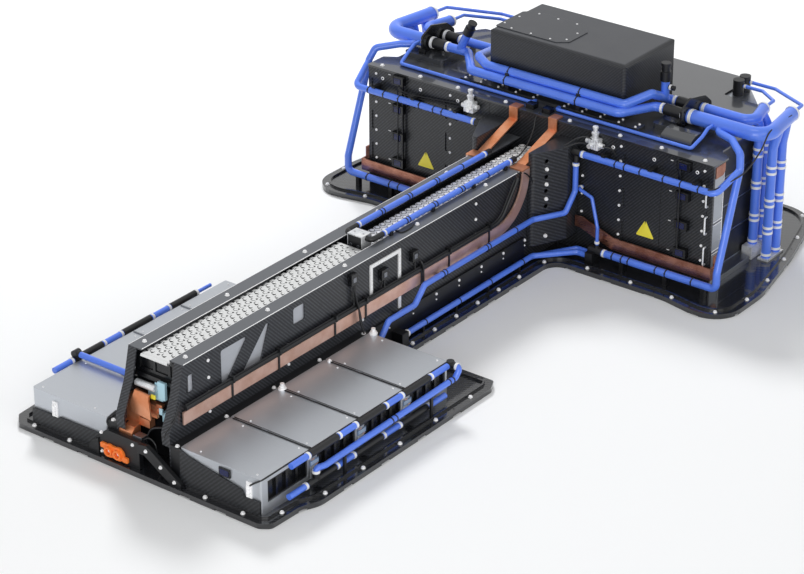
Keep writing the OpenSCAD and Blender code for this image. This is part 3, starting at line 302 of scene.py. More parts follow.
# Gussets: broad rounded corners that draw a highlight along them.
CARBON_GUSSET = WovenCarbon("coated_carbon_gusset", "1d1e22", 0.34, rib="4c4f55", pitch_mm=10.0, edge_mm=4.0)
# Filled nylon: matt black with a fine grain, so rails and ties read as soft dark bands. The same black also paints
# shade: the plates in the stack's recesses and the strips round the collector's tabs.
BLACK_PA_AND_SHADE = Moulded("black_nylon_and_painted_shade", "121316", 0.4, edge_mm=0.8)
# Unfilled nylon: a deeper black with small sharp highlights on plates and housings.
BLACK_GLOSS = Moulded("black_gloss_nylon", "0e0f12", 0.25, edge_mm=0.6)
# Hose: a clear mid blue with a long pale streak where the thin coat catches the surround.
BLUE_HOSE = Moulded("blue_moulded_hose", "5480f0", 0.32, grain_mm=2.0, grain_depth_mm=0.12, edge_mm=0.5, coat=0.45)
# Clamp: a clean white ring with a small glint, the brightest mark on every hose.
WHITE_CLAMP = Moulded("white_acetal_clamp", "f0f1f2", 0.25, edge_mm=0.4)
# High-voltage housing: saturated orange with rounded, bright edges.
ORANGE_HV = Moulded("orange_connector_nylon", "ff8434", 0.33, edge_mm=1.0)
# Plug face: almost black, and blue only where the light strikes it.
NAVY_PLUG = Moulded("navy_connector_nylon", "121a4a", 0.16, edge_mm=0.6)
# Tag body: a muted grey blue between the black rails.
TAG_BLUE = Moulded("grey_blue_tag", "6f87a8", 0.3, edge_mm=0.4)
# Tag face: the lighter plate that makes the tag stand out.
TAG_PALE = Moulded("pale_blue_tag", "a9bfd9", 0.25, edge_mm=0.3)
# Insulator: pale icy blue, smooth enough to look glazed.
INSULATOR = Moulded("pale_blue_insulator", "b4dcec", 0.15, edge_mm=1.0)
# Enamelled plate: flat warm yellow.
YELLOW_PLATE = Moulded("yellow_enamel_plate", "fbec48", 0.35, edge_mm=0.3)
# Module case: cool grey with a faint cross grain, light at the front and darker near the wall.
CASE_ALU = Metal("brushed_case_aluminium", "c4c8ce", 0.37, 0.8, edge_mm=1.2, grain=Grain.ALONG_X)
# Liner: an even, dull pale grey behind the wall windows.
LINER_ALU = Metal("satin_liner_aluminium", "c4c7cd", 0.5, 0.6, edge_mm=1.0, grain=Grain.ALONG_Y)
# Rear stack: plain mid grey sides without a mirror.
STACK_ALU = Metal("satin_stack_aluminium", "a4a8af", 0.34, 1.0, edge_mm=1.0, grain=Grain.ALONG_Y)
# Current collector: the brightest metal, nearly white from above.
PLATE_ALU = Metal("bright_perforated_aluminium", "eceded", 0.36, 0.8, edge_mm=0.5, grain=Grain.ALONG_Y)
# Cell can: a soft white glaze that takes on the blue of the hoses.
CELL_CAN = Metal("nickel_plated_can", "fafafb", 0.3, 0.12, edge_mm=0.3)
# Zinc flake: pale, slightly chalky heads and rails that stay bright in shade. The same white also paints highlights:
# the beads along the flange edges and across the stack's seams.
ZINC_STEEL_AND_HIGHLIGHTS = Metal("zinc_flake_steel_and_highlights", "fcfcfd", 0.3, 0.15, edge_mm=0.4)
# Side bar: pale pink copper with a slow mottle.
COPPER = Metal("bare_copper_bar", "edc6b6", 0.38, 0.75, edge_mm=1.2, grain=Grain.ALONG_Y, mottle="dfb09c")
# Strap: fresh orange copper with darker clouds.
COPPER_STRAP = Metal("bright_copper_strap", "e8a27c", 0.36, 0.8, edge_mm=1.2, grain=Grain.ALONG_Y, mottle="d88455")
# Panel bar: tarnished red brown.
COPPER_DARK = Metal("aged_copper_bar", "b9846f", 0.3, 0.95, edge_mm=1.2, grain=Grain.ALONG_X, mottle="94604e")
# Small straps and lids: flat mid grey.
STRAP_ALU = Metal("satin_strap_aluminium", "8c8f95", 0.4, 1.0, edge_mm=0.6, grain=Grain.ALONG_X)
# Casting: whitish, with a grey mottle and soft corners.
CAST_ALU = Metal("cast_aluminium_fitting", "f6f7f8", 0.32, 0.4, edge_mm=1.0, mottle="c9ccd1")


class Shape:
    """Gathers grids of points into one mesh."""

    def __init__(self) -> None:
        """Starts with no points and no faces."""
        self.points: list[np.ndarray] = []
        self.quads: list[np.ndarray] = []
        self.count = 0

    def grid(self, points: np.ndarray, closed_u: bool = False, closed_v: bool = False) -> None:
        """Adds copies of a grid as quads.

        Quad (i, j) joins points (i, j), (i + 1, j), (i + 1, j + 1) and (i, j + 1), counted round where closed.

        Args:
            points: an array of copies x rows x columns x 3.
            closed_u: True if the last row joins the first.
            closed_v: True if the last column joins the first.
        """
        copies, rows, cols = points.shape[:3]
        i = np.arange(rows if closed_u else rows - 1)[:, None]
        j = np.arange(cols if closed_v else cols - 1)[None, :]
        i2, j2 = (i + 1) % rows, (j + 1) % cols
        one = np.stack([i * cols + j, i2 * cols + j, i2 * cols + j2, i * cols + j2], axis=-1).reshape(-1, 4)
        many = one[None] + (np.arange(copies) * rows * cols)[:, None, None]
        self.quads.append(many.reshape(-1, 4) + self.count)
        self.points.append(points.reshape(-1, 3))
        self.count += copies * rows * cols

    def piece(self, name: str, finish: Finish, slot: str, smooth: bool = True) -> bpy.types.Object:
        """Makes the object, welds its poles, points its faces outwards and lets it ride on the pack.

        Args:
            name: the piece's name.
            finish: its finish.
            slot: the record's material slot; not used.
            smooth: True for smooth shading with sharp edges kept at 35 degrees.

        Returns:
            The new object.
        """
        mesh = bpy.data.meshes.new(name)
        mesh.from_pydata(np.concatenate(self.points), [], np.concatenate(self.quads))
        made = bmesh.new()
        made.from_mesh(mesh)
        bmesh.ops.remove_doubles(made, verts=made.verts, dist=1e-6)
        bmesh.ops.recalc_face_normals(made, faces=made.faces)
        made.to_mesh(mesh)
        made.free()
        mesh.materials.append(finish.material())
        if smooth:
            mesh.set_sharp_from_angle(angle=math.radians(35))
        made_object = bpy.data.objects.new(name, mesh)
        bpy.context.scene.collection.objects.link(made_object)
        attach(made_object, "root")
        LOG.info("piece %s: %d faces", name, len(mesh.polygons))
        return made_object


def islands(node: str) -> np.ndarray:
    """Finds the boxes of a CAD node's separate solids.

    Points at one place count as one, and each takes the lowest label among its triangles until none changes.

    Args:
        node: the CAD node's name.

    Returns:
        An array of solids x 2 x 3: lowest and highest corners in metres.
    """
    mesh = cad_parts[node].data
    co = np.empty(len(mesh.vertices) * 3, np.float32)
    mesh.vertices.foreach_get("co", co)
    co = co.reshape(-1, 3)
    mesh.calc_loop_triangles()
    tri = np.empty(len(mesh.loop_triangles) * 3, np.int32)
    mesh.loop_triangles.foreach_get("vertices", tri)
    _, same = np.unique(np.round(co * 1e5).astype(np.int64), axis=0, return_inverse=True)
    same = same.reshape(-1)
    tri = same[tri.reshape(-1, 3)]
    label = np.arange(same.max() + 1)
    while True:
        low = label[tri].min(axis=1)
        new = label.copy()
        np.minimum.at(new, tri.ravel(), np.repeat(low, 3))
        new = new[new]
        if np.array_equal(new, label):
            break
        label = new
    _, which = np.unique(label[same], return_inverse=True)
    boxes = np.empty((which.max() + 1, 2, 3))
    boxes[:, 0], boxes[:, 1] = np.inf, -np.inf
    np.minimum.at(boxes[:, 0], which, co)
    np.maximum.at(boxes[:, 1], which, co)
    return boxes


def turned(profile: np.ndarray, segments: int) -> np.ndarray:
    """Turns a profile round Z: (r, z) at angle t becomes (r cos t, r sin t, z).

    Args:
        profile: points x 2, as radius and height.
        segments: steps round the axis.

    Returns:
        A grid of segments x points x 3.
    """
    t = np.linspace(0, 2 * np.pi, segments, endpoint=False)[:, None]
    r, z = profile[None, :, 0], profile[None, :, 1]
    return np.stack([r * np.cos(t), r * np.sin(t), np.broadcast_to(z, (segments, profile.shape[0]))], axis=-1)


def stood(grid: np.ndarray, centres: np.ndarray, axes: np.ndarray) -> np.ndarray:
    """Copies a grid to each centre with its Z turned to each axis.

    With w the axis, u is w x (0.31, 0.95, 0.05) made a unit vector and v is w x u, and a point becomes
    centre + x u + y v + z w.

    Args:
        grid: rows x columns x 3, or one such grid for each copy.
        centres: copies x 3.
        axes: copies x 3 unit vectors.

    Returns:
        An array of copies x rows x columns x 3.
    """
    side = np.cross(axes, np.array([0.31, 0.95, 0.05]))
    side /= np.linalg.norm(side, axis=1, keepdims=True)
    basis = np.stack([side, np.cross(axes, side), axes], axis=1)
    each = np.broadcast_to(grid, (len(centres), *grid.shape[-3:]))
    return centres[:, None, None, :] + np.einsum("krcx,kxy->krcy", each, basis)


def hoops(r: np.ndarray, t: np.ndarray, z: np.ndarray) -> np.ndarray:
    """Bends bands into rings: (r, z) at angle t becomes (r cos t, r sin t, z).

    Args:
        r: radii, as copies x angles x columns.
        t: the angles.
        z: heights that spread to the shape of r.

    Returns:
        A grid of copies x angles x columns x 3.
    """
    turn = t[None, :, None]
    return np.stack([r * np.cos(turn), r * np.sin(turn), np.broadcast_to(z, r.shape)], axis=-1)


@dataclass
class Dressing:
    """Gives every CAD node that stays in view the finish of the real piece."""

    finishes: dict[str, Finish] = field(default_factory=lambda: {
        "tray": CARBON_TRAY, "front_fairings": CARBON_FOOT, "tunnel_side": CARBON_WALL, "gussets": CARBON_GUSSET,
        "rear_panel": CARBON_PANEL, "rear_bulkhead": CARBON_PANEL, "cover": COVER_SKIN, "top_box": CARBON_BOX,
        "front_case": CASE_ALU, "front_holders": BLACK_GLOSS, "front_rails": BLACK_PA_AND_SHADE, "seam_straps": STRAP_ALU,
        "module_latches": ZINC_STEEL_AND_HIGHLIGHTS, "cell_tags": TAG_BLUE, "tunnel_liners": LINER_ALU, "spine_rails": BLACK_PA_AND_SHADE,
        "tunnel_bolts": ZINC_STEEL_AND_HIGHLIGHTS, "tray_bolts": ZINC_STEEL_AND_HIGHLIGHTS, "screws": ZINC_STEEL_AND_HIGHLIGHTS, "vent_plate": PLATE_ALU,
        "cell_spine": BLACK_PA_AND_SHADE, "vent_cells": CELL_CAN, "junction_block": CAST_ALU, "end_bracket": BLACK_GLOSS,
        "end_insulators": INSULATOR, "front_busbars": COPPER_STRAP, "side_busbars": COPPER, "rear_busbars": COPPER_DARK,
        "top_straps": COPPER_STRAP, "hv_bracket": BLACK_PA_AND_SHADE, "hv_connector": ORANGE_HV, "clips": BLACK_PA_AND_SHADE,
        "side_cables": BLACK_PA_AND_SHADE, "side_frame": ZINC_STEEL_AND_HIGHLIGHTS, "connectors": BLACK_GLOSS, "service_fittings": CAST_ALU,
        "rear_base": STACK_ALU, "rear_layer": STACK_ALU, "fittings": BLACK_PA_AND_SHADE, "bulkheads": BLACK_GLOSS,
        "clamps": WHITE_CLAMP, "front_hoses": BLUE_HOSE, "tunnel_hoses": BLUE_HOSE, "main_hoses": BLUE_HOSE,
        "header": BLUE_HOSE, "risers": BLUE_HOSE, "side_hoses": BLUE_HOSE})

    def build(self) -> None:
        """Assigns each node the finish whose key starts its name, taking the longest such key."""
        for name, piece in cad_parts.items():
            key = max((k for k in self.finishes if name.startswith(k)), key=len)
            material = self.finishes[key].material()
            if piece.data.materials:
                for i in range(len(piece.data.materials)):
                    piece.data.materials[i] = material
            else:
                piece.data.materials.append(material)


@dataclass
class ClampRings:
    """Snap clamps on the hose ends: a ribbed band with a raised lug where it closes."""

    segments: int = 28
    wall_mm: float = 2.2
    lug_mm: float = 1.0
    inset_mm: float = 1.0

    def build(self) -> None:
        """Stands one band round each ring of the CAD node, on the ring's own axis."""
        boxes = islands("clamps")
        size = boxes[:, 1] - boxes[:, 0]
        centre = boxes.mean(axis=1)
        axis_number = size.argmin(axis=1)
        axes = np.eye(3)[axis_number]
        wide = size.min(axis=1)
        outer = size.max(axis=1) / 2
        u = np.array([-0.5, -0.5, -0.34, -0.26, 0.26, 0.34, 0.5, 0.5])
        lift = np.array([-1.0, -0.12, 0.0, -0.28, -0.28, 0.0, -0.12, -1.0]) * self.wall_mm * MM
        t = np.linspace(0, 2 * np.pi, self.segments, endpoint=False)
        lug = np.exp(-((t - 0.5) / 0.2) ** 2) * self.lug_mm * MM
        shape = Shape()
        r = outer[:, None, None] - self.inset_mm * MM + lift + lug[None, :, None] * (lift > lift.min())
        grid = hoops(r, t, u[None, None, :] * wide[:, None, None])
        shape.grid(stood(grid, centre, axes), closed_u=True, closed_v=True)
        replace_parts(shape.piece("snap_clamps", WHITE_CLAMP, "clamp_white"), "clamps")
        self.end_rings()

    def end_rings(self) -> None:
        """Adds the narrow bands where thin hoses leave the headers, the unions and the front rail."""
        right = np.array([(532, 1971, 425, 1, 16.2), (612, 1986, 425, 1, 20.2), (532, 1981, 425, 1, 6.2),
                          (612, 1996, 425, 1, 6.2), (245, 1602, 75, 2, 5.2), (162, 1611, 285, 2, 8.2),
                          (166, 1632, 208, 1, 5.2), (102.4, 912, 32, 1, 8.2), (115, 912, 43, 1, 8.2)], float)
        lone = np.array([(402, 743, 113, 0, 8.2), (385, 206, 60, 2, 8.2)], float)
        rows = np.concatenate([right, right * np.array([-1, 1, 1, 1, 1]), lone])
        band = np.array([[0, -3.5], [1.6, -3.5], [2.0, -2.4], [2.0, 2.4], [1.6, 3.5], [0, 3.5]]) * MM
        shape = Shape()
        for x, y, z, axis, r in rows:
            profile = band + np.array([r * MM, 0.0])
            shape.grid(stood(turned(profile, self.segments), packed([(x, y, z)]), np.eye(3)[[int(axis)]]),
                       closed_u=True, closed_v=True)
        shape.piece("end_rings", WHITE_CLAMP, "clamp_white")


@dataclass
class CellRow:
    """Upright round cells: a rolled crimp, a dark seal ring and a bright terminal on each."""

    segments: int = 20
    least_mm: float = 15.0

    def build(self) -> None:
        """Turns the can's profile round each cell's own axis, and its seal ring as a second piece."""
        boxes = islands("vent_cells")
        cells = boxes[(boxes[:, 1, 0] - boxes[:, 0, 0]) > self.least_mm * MM]
        r = (cells[0, 1, 0] - cells[0, 0, 0]) / 2
        low, high = cells[:, 0, 2].min(), cells[:, 1, 2].max()
        h = high - low
        profile = np.array([[0, 0], [r * 0.97, 0], [r, 0.0008], [r, h - 0.009], [r * 0.93, h - 0.0078],
                            [r * 0.93, h - 0.0068], [r, h - 0.0056], [r, h - 0.0036], [r * 0.96, h - 0.0029],
                            [r * 0.80, h - 0.0028], [r * 0.78, h - 0.0036], [r * 0.55, h - 0.0036],
                            [r * 0.5, h - 0.0004], [r * 0.4, h], [0, h]])
        centres = cells.mean(axis=1)
        centres[:, 2] = low
        axes = np.tile([0.0, 0.0, 1.0], (len(cells), 1))
        shape = Shape()
        shape.grid(stood(turned(profile, self.segments), centres, axes), closed_u=True)
        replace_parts(shape.piece("round_cells", CELL_CAN, "cell_can"), "vent_cells")
        seal = np.array([[r * 0.64, h - 0.0035], [r * 0.64, h - 0.0024], [r * 0.75, h - 0.0024],
                         [r * 0.75, h - 0.0035]])
        ring = Shape()
        ring.grid(stood(turned(seal, self.segments), centres, axes), closed_u=True)
        ring.piece("cell_seals", BLACK_PA_AND_SHADE, "black_plastic")


@dataclass
class Fasteners:
    """Screw and bolt heads: a washer face, a chamfered head and a six-lobed drive recess."""

    node: str
    segments: int = 24
    top_only: bool = False
    slant_deg: float = 25.2
    head_mm: float = 5.0

    def build(self) -> None:
        """Stands a head on each of the node's solids, along the solid's short side and facing outwards."""
        boxes = islands(self.node)
        size, centre = boxes[:, 1] - boxes[:, 0], boxes.mean(axis=1)
        # A head whose box is as wide as it is deep stands upright; one as tall as neither leans with its wall.
        number = np.full(len(boxes), 2) if self.top_only else size.argmin(axis=1)
        upright = np.abs(size[:, 0] - size[:, 1]) < 1e-4
        number = np.where(upright, 2, number)
        rows = np.arange(len(boxes))
        radius = np.where(number == 2, np.minimum(size[:, 0], size[:, 1]), size[:, 2]) / 2
        sign = np.where(number == 2, 1.0, np.where(number == 1, -1.0, np.sign(centre[:, 0])))
        axes = np.eye(3)[number] * sign[:, None]
        slanted = (np.abs(size[:, 0] - size[:, 2]) > 2e-4) & (number != 2) & (np.abs(size[:, 1] - size[:, 2]) > 2e-4)
        slant = math.radians(self.slant_deg)
        lean = np.stack([np.sign(centre[:, 0]) * math.cos(slant), np.full(len(boxes), -math.sin(slant)),
                         np.zeros(len(boxes))], axis=1)
        axes = np.where(slanted[:, None], lean, axes)
        out = np.where(sign > 0, boxes[rows, 1, number], boxes[rows, 0, number])
        base = centre.copy()
        height = np.minimum(radius * 0.9, self.head_mm * MM)
        base[rows, number] = out - sign * height
        base[slanted] = centre[slanted]
        t = np.linspace(0, 2 * np.pi, self.segments, endpoint=False)[:, None]
        u = np.array([1.0, 1.0, 0.98, 0.8, 0.76, 0.62, 0.5, 0.46, 0.0])[None, :]
        z = np.array([-0.35, 0.12, 0.2, 0.22, 0.86, 1.0, 1.0, 0.45, 0.45])[None, :]
        lobes = 1 - 0.16 * (0.5 + 0.5 * np.cos(6 * t)) * (np.abs(u - 0.48) < 0.03)
        flat = hoops((u * lobes)[None], t[:, 0], z)[0]
        scale = np.stack([radius, radius, height], axis=1)
        shape = Shape()
        shape.grid(stood(flat[None] * scale[:, None, None, :], base, axes), closed_u=True)
        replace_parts(shape.piece(self.node + "_heads", ZINC_STEEL_AND_HIGHLIGHTS, "steel"), self.node)


@dataclass
class HoseTies:
    """Black cable ties round the hoses: a thin strap with a square locking head."""

    width_mm: float = 3.2
    thick_mm: float = 1.1
    segments: int = 28

    def build(self) -> None:
        """Bands each place in the list: centre, axis number and hose radius, in millimetres, both sides."""
        rows = []
        for x in (292, 322, 372, 446, 500, 556):
            rows.append((x, 1611, 320, 0, 9.5))
        for x in (300, 330, 352, 440, 472, 555):
            rows.append((x, 1602, 48, 0, 10.5))
        for y in (1070, 1082, 1265, 1277, 1400):
            rows.append((112, y, 151, 1, 8.0))
        for y in (990, 1140, 1280, 1430):
            rows.append((102.4, y, 32, 1, 8.0))
            rows.append((115, y, 43, 1, 8.0))
        for y in (1002, 1014, 1120, 1132, 1240, 1252, 1360):
            rows.append((42, y, 311, 1, 8.0))
        both = np.array(rows, float)
        left = both * np.array([-1, 1, 1, 1, 1])
        every = np.concatenate([both, left])
        lone = np.array([(-142, 1722, 444, 0, 13), (98, 1722, 444, 0, 13), (-142, 1704, 424, 0, 13),
                         (98, 1704, 424, 0, 13),
                         (399.4, 478, 77.8, 1, 8), (399.8, 494, 78.5, 1, 8), (405.3, 704, 86.9, 1, 8),
                         (405.7, 718, 87.5, 1, 8)], float)
        every = np.concatenate([every, lone])
        centre = (every[:, :3] - np.array([0, MID_Y, 0])) * MM
        axes = np.eye(3)[every[:, 3].astype(int)]
        inner = every[:, 4] * MM + 0.00005
        t = np.linspace(0, 2 * np.pi, self.segments, endpoint=False)
        u = np.array([-0.5, -0.5, 0.5, 0.5]) * self.width_mm * MM
        v = np.array([0.0, 1.0, 1.0, 0.0]) * self.thick_mm * MM
        head = 1 + 1.8 * (np.abs(t - 1.1) < 0.18)
        r = inner[:, None, None] + v[None, None, :] * head[None, :, None]
        grid = hoops(r, t, u * (0.8 + 0.2 * head[None, :, None]))
        shape = Shape()
        shape.grid(stood(grid, centre, axes), closed_u=True, closed_v=True)
        shape.piece("hose_ties", BLACK_PA_AND_SHADE, "black_plastic")


def smoothed(points: np.ndarray, steps: int) -> np.ndarray:
    """Runs a Catmull-Rom curve through the points.

    Between b and c, with neighbours a and d, a share t gives
    (2b + (c - a)t + (2a - 5b + 4c - d)t^2 + (3b - a - 3c + d)t^3) / 2.

    Args:
        points: corners x 3.
        steps: samples per stretch.

    Returns:
        The curve's samples, x 3.
    """
    p = np.concatenate([2 * points[:1] - points[1:2], points, 2 * points[-1:] - points[-2:-1]])
    a, b, c, d = p[:-3, None], p[1:-2, None], p[2:-1, None], p[3:, None]
    t = np.linspace(0, 1, steps, endpoint=False)[None, :, None]
    run = (2 * b + (c - a) * t + (2 * a - 5 * b + 4 * c - d) * t ** 2 + (3 * b - a - 3 * c + d) * t ** 3) / 2
    return np.concatenate([run.reshape(-1, 3), points[-1:]])


def tube(path: np.ndarray, radius: float, segments: int = 10) -> np.ndarray:
    """Sweeps a circle along a path: each ring is path + r (n cos t + m sin t), square to the path.

    Args:
        path: samples x 3.
        radius: the tube's radius.
        segments: steps round it.

    Returns:
        A grid of 1 x rings x segments x 3, with its ends drawn shut.
    """
    ahead = np.gradient(path, axis=0)
    ahead /= np.linalg.norm(ahead, axis=1, keepdims=True)
    n = np.cross(ahead, np.array([0.43, 0.21, 0.877]))
    n /= np.linalg.norm(n, axis=1, keepdims=True)
    m = np.cross(ahead, n)
    t = np.linspace(0, 2 * np.pi, segments, endpoint=False)
    ring = n[:, None] * np.cos(t)[None, :, None] + m[:, None] * np.sin(t)[None, :, None]
    body = path[:, None] + radius * ring
    ends = [np.repeat(path[i][None, None], segments, axis=1) for i in (0, -1)]
    return np.concatenate([ends[0], body, ends[1]])[None]


def packed(points: list[tuple[float, float, float]] | np.ndarray) -> np.ndarray:
    """Turns millimetres measured from the tray's front edge into the pack's metres.

    Args:
        points: places, x 3.

    Returns:
        The same places as an array in metres, with y counted from the pack's middle.
    """
    return (np.array(points, float) - np.array([0.0, MID_Y, 0.0])) * MM


def blocks(low: np.ndarray, high: np.ndarray, round_mm: float = 0.6) -> np.ndarray:
    """Makes boxes with a softened top and bottom, as stacked rings of four corners.

    Args:
        low: copies x 3 low corners in metres.
        high: copies x 3 high corners in metres.
        round_mm: the size of the softened edge.

    Returns:
        A grid of copies x 6 rings x 4 corners x 3.
    """
    r = round_mm * MM
    corner = np.array([[0, 0], [1, 0], [1, 1], [0, 1]], float)
    rings = np.array([[1.0, 0.0, 0.5], [r, 0.0, 0.0], [0.0, r, 0.0], [0.0, -r, 1.0], [r, 0.0, 1.0], [1.0, 0.0, 0.5]])
    size = high - low
    out = np.empty((len(low), 6, 4, 3))
    for i, (shrink, shift, level) in enumerate(rings):
        inset = np.minimum(size[:, :2] / 2, shrink) if shrink < 0.5 else size[:, :2] / 2
        a, b = low[:, :2] + inset, high[:, :2] - inset
        out[:, i, :, :2] = a[:, None] + corner[None] * (b - a)[:, None]
        base = np.where(i < 3, low[:, 2], high[:, 2])
        out[:, i, :, 2] = (base + shift)[:, None]
    return out


def laid(name: str, finish: Finish, slot: str, low: np.ndarray, high: np.ndarray, round_mm: float = 0.6) -> None:
    """Makes one flat-shaded piece out of softened boxes.

    Args:
        name: the piece's name.
        finish: its finish.
        slot: the record's material slot; passed on to Shape.piece, which does not use it.
        low: boxes x 3 low corners in metres.
        high: boxes x 3 high corners in metres.
        round_mm: the size of the softened edge.
    """
    shape = Shape()
    shape.grid(blocks(low, high, round_mm), closed_v=True)
    shape.piece(name, finish, slot, smooth=False)


@dataclass
class VentTabs:
    """Pressed tabs of the current collector: a bright dome with a black strip round its front half, painted shade in
    the slit cut round it.
    """

    pitch_mm: float = 22.5
    first_mm: float = 104.0
    rows: int = 32
    top_mm: float = 293.0

    def build(self) -> None:
        """Presses one tab by each cell in three lines and a smaller one in the outer line."""
        y = self.first_mm + self.pitch_mm * np.arange(self.rows)
        lines = [(-27.0, 0.0, 5.6), (-8.5, 11.0, 5.6), (10.5, 0.0, 5.6), (29.0, 11.0, 4.2)]
        domes, slit_shade = Shape(), Shape()
        for x, shift, r in lines:
            centres = packed(np.stack([np.full(self.rows, x), y + shift, np.full(self.rows, self.top_mm)], axis=1))
            a = np.linspace(0, 1, 5)
            profile = np.stack([r * MM * np.sin((1 - a) * np.pi / 2) ** 0.6, 1.2 * MM * a], axis=1)
            axes = np.tile([0.0, 0.0, 1.0], (self.rows, 1))
            domes.grid(stood(turned(profile, 14), centres, axes), closed_u=True)
            # Painted shade: a thin black strip on the plate round the front of each dome.
            t = np.radians(np.linspace(150, 345, 12))
            u = np.array([r + 0.5, r + 2.1, r + 2.1, r + 0.5]) * MM
            lift = np.array([0.0, 0.0, 0.25, 0.25]) * MM
            strip = np.stack([u[:, None] * np.cos(t), u[:, None] * np.sin(t), np.broadcast_to(lift[:, None], (4, 12))],
                             axis=-1)
            slit_shade.grid(centres[:, None, None, :] + strip[None], closed_u=True)
        domes.piece("collector_domes", PLATE_ALU, "plate_aluminium")
        slit_shade.piece("collector_slit_shade", BLACK_PA_AND_SHADE, "plate_aluminium")


@dataclass
class FlangeHighlightsAndRoll:
    """Thin bright beads along the tunnel's flange edges, painted highlights where the bent edges catch the light, and
    the collector's rolled front edge.
    """

    radius_mm: float = 1.1
    roll_mm: float = 4.6

    def build(self) -> None:
        """Lays a fine bright bead along each flange edge as a painted highlight, and a thicker one across the
        collector's front edge.
        """
        shape = Shape()
        for x in (-86.0, 86.0, -45.0, 45.0):
            path = packed([(x, 84, 299.4), (x, 400, 299.4), (x, 900, 299.4), (x, 1450, 299.4)])
            shape.grid(tube(path, self.radius_mm * MM, 8), closed_v=True)
        # Painted highlight: the white beads stand for the light caught on the bent carbon flange edges.
        shape.piece("flange_edge_highlights", ZINC_STEEL_AND_HIGHLIGHTS, "carbon")
        (x0, y0, _), (x1, _, z1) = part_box("vent_plate")
        r = self.roll_mm * MM
        roll = np.array([(x, y0 + MM - r, z1 - r) for x in (x0 + MM, 0.0, x1 - MM)])
        lip = Shape()
        lip.grid(tube(roll, r, 16), closed_v=True)
        lip.piece("plate_roll", PLATE_ALU, "plate_aluminium")


@dataclass
class Cables:
    """Thin black signal cables, laid along their listed routes."""

    steps: int = 10

    def build(self) -> None:
        """Sweeps each route: a list of points in millimetres from the tray's front edge, and a radius."""
        routes: list[tuple[float, list[tuple[float, float, float]]]] = [
            (2.2, [(338, 22, 92), (352, 20, 104), (366, 32, 112), (371, 60, 116), (371, 200, 116.4), (371, 420, 116.4),
                   (371, 640, 116.4), (371, 744, 116)]),
            (2.4, [(96, 44, 186), (88, 40, 171), (61, 40, 143), (24, 40, 127), (9, 40, 112), (0, 40, 90),
                   (-3, 38, 78)]),
            (2.0, [(0, 30, 92), (17, 30, 101), (35, 30, 91), (39, 30, 68), (40, 30, 40), (42, 34, 24)]),
            (1.4, [(132, 20, 244), (124, 20, 223), (118, 20, 203), (106, 20, 177), (83, 20, 147), (74, 22, 126)]),
            (2.6, [(-92, 34, 137), (-110, 30, 118), (-118, 28, 103), (-114, 28, 89), (-112, 28, 76)]),
            (2.0, [(44, 956, 302), (64, 958, 302), (66, 990, 302), (59, 1016, 302)]),
            (1.8, [(-460, 1623, 350), (-448, 1626, 338), (-411, 1630, 334), (-320, 1634, 341), (-232, 1634, 350)]),
            (1.8, [(-460, 1623, 344), (-446, 1626, 331), (-411, 1630, 327), (-320, 1634, 333), (-232, 1634, 341)]),
            (2.6, [(92, 726, 258), (93, 721, 250), (92, 724, 223), (98, 726, 202), (104, 730, 176), (104, 736, 148),
                   (108, 742, 118)]),
            (2.6, [(96, 722, 258), (98, 718, 240), (100, 722, 214), (104, 726, 190), (108, 728, 150),
                   (112, 736, 116)]),
            (2.2, [(92, 842, 224), (92, 836, 214), (98, 824, 206)]),
            (2.6, [(92, 970, 226), (94, 994, 216), (102, 998, 202), (104, 998, 176), (104, 998, 148),
                   (100, 1000, 124)]),
            (2.2, [(588, 1600, 332), (606, 1618, 334), (624, 1656, 346), (642, 1700, 364), (650, 1758, 404),
                   (642, 1813, 436), (636, 1878, 440), (632, 1947, 438)]),
            (2.0, [(30, 1470, 306), (48, 1500, 318), (36, 1560, 330), (20, 1610, 352), (10, 1632, 372),
                   (12, 1650, 388)]),
            (2.0, [(86, 1440, 300), (97, 1470, 288), (101, 1500, 240), (100, 1500, 180), (101, 1498, 120)]),
            (2.0, [(150, 1560, 346), (180, 1590, 360), (196, 1612, 352), (204, 1618, 338)]),
            (2.0, [(140, 1580, 344), (168, 1604, 366), (190, 1616, 372), (210, 1622, 366)]),
            (2.2, [(236, 1625, 352), (250, 1632, 350), (262, 1637, 346), (270, 1640, 330)]),
        ]
        for x in (-461, 489):
            routes.append((1.8, [(x - 2 * bow, 1622 + 2 * bow, z) for bow, z in
                                 ((0, 352), (1, 320), (0, 290), (0, 262), (1, 232), (0, 203), (0, 178), (1, 148),
                                  (0, 121))]))
        shape = Shape()
        for radius, points in routes:
            shape.grid(tube(smoothed(packed(points), self.steps), radius * MM), closed_v=True)
        for y in (209.0, 390.0, 571.0):
            for shift in (-3.4, 3.4):
                path = packed([(128, y + shift, 115.4), (240, y + shift * 0.8, 115.6), (360, y + shift * 0.6, 115.8),
                               (371, y, 116.2)])
                shape.grid(tube(smoothed(path, 6), 1.5 * MM, 8), closed_v=True)
        shape.piece("signal_cables", BLACK_PA_AND_SHADE, "black_plastic")


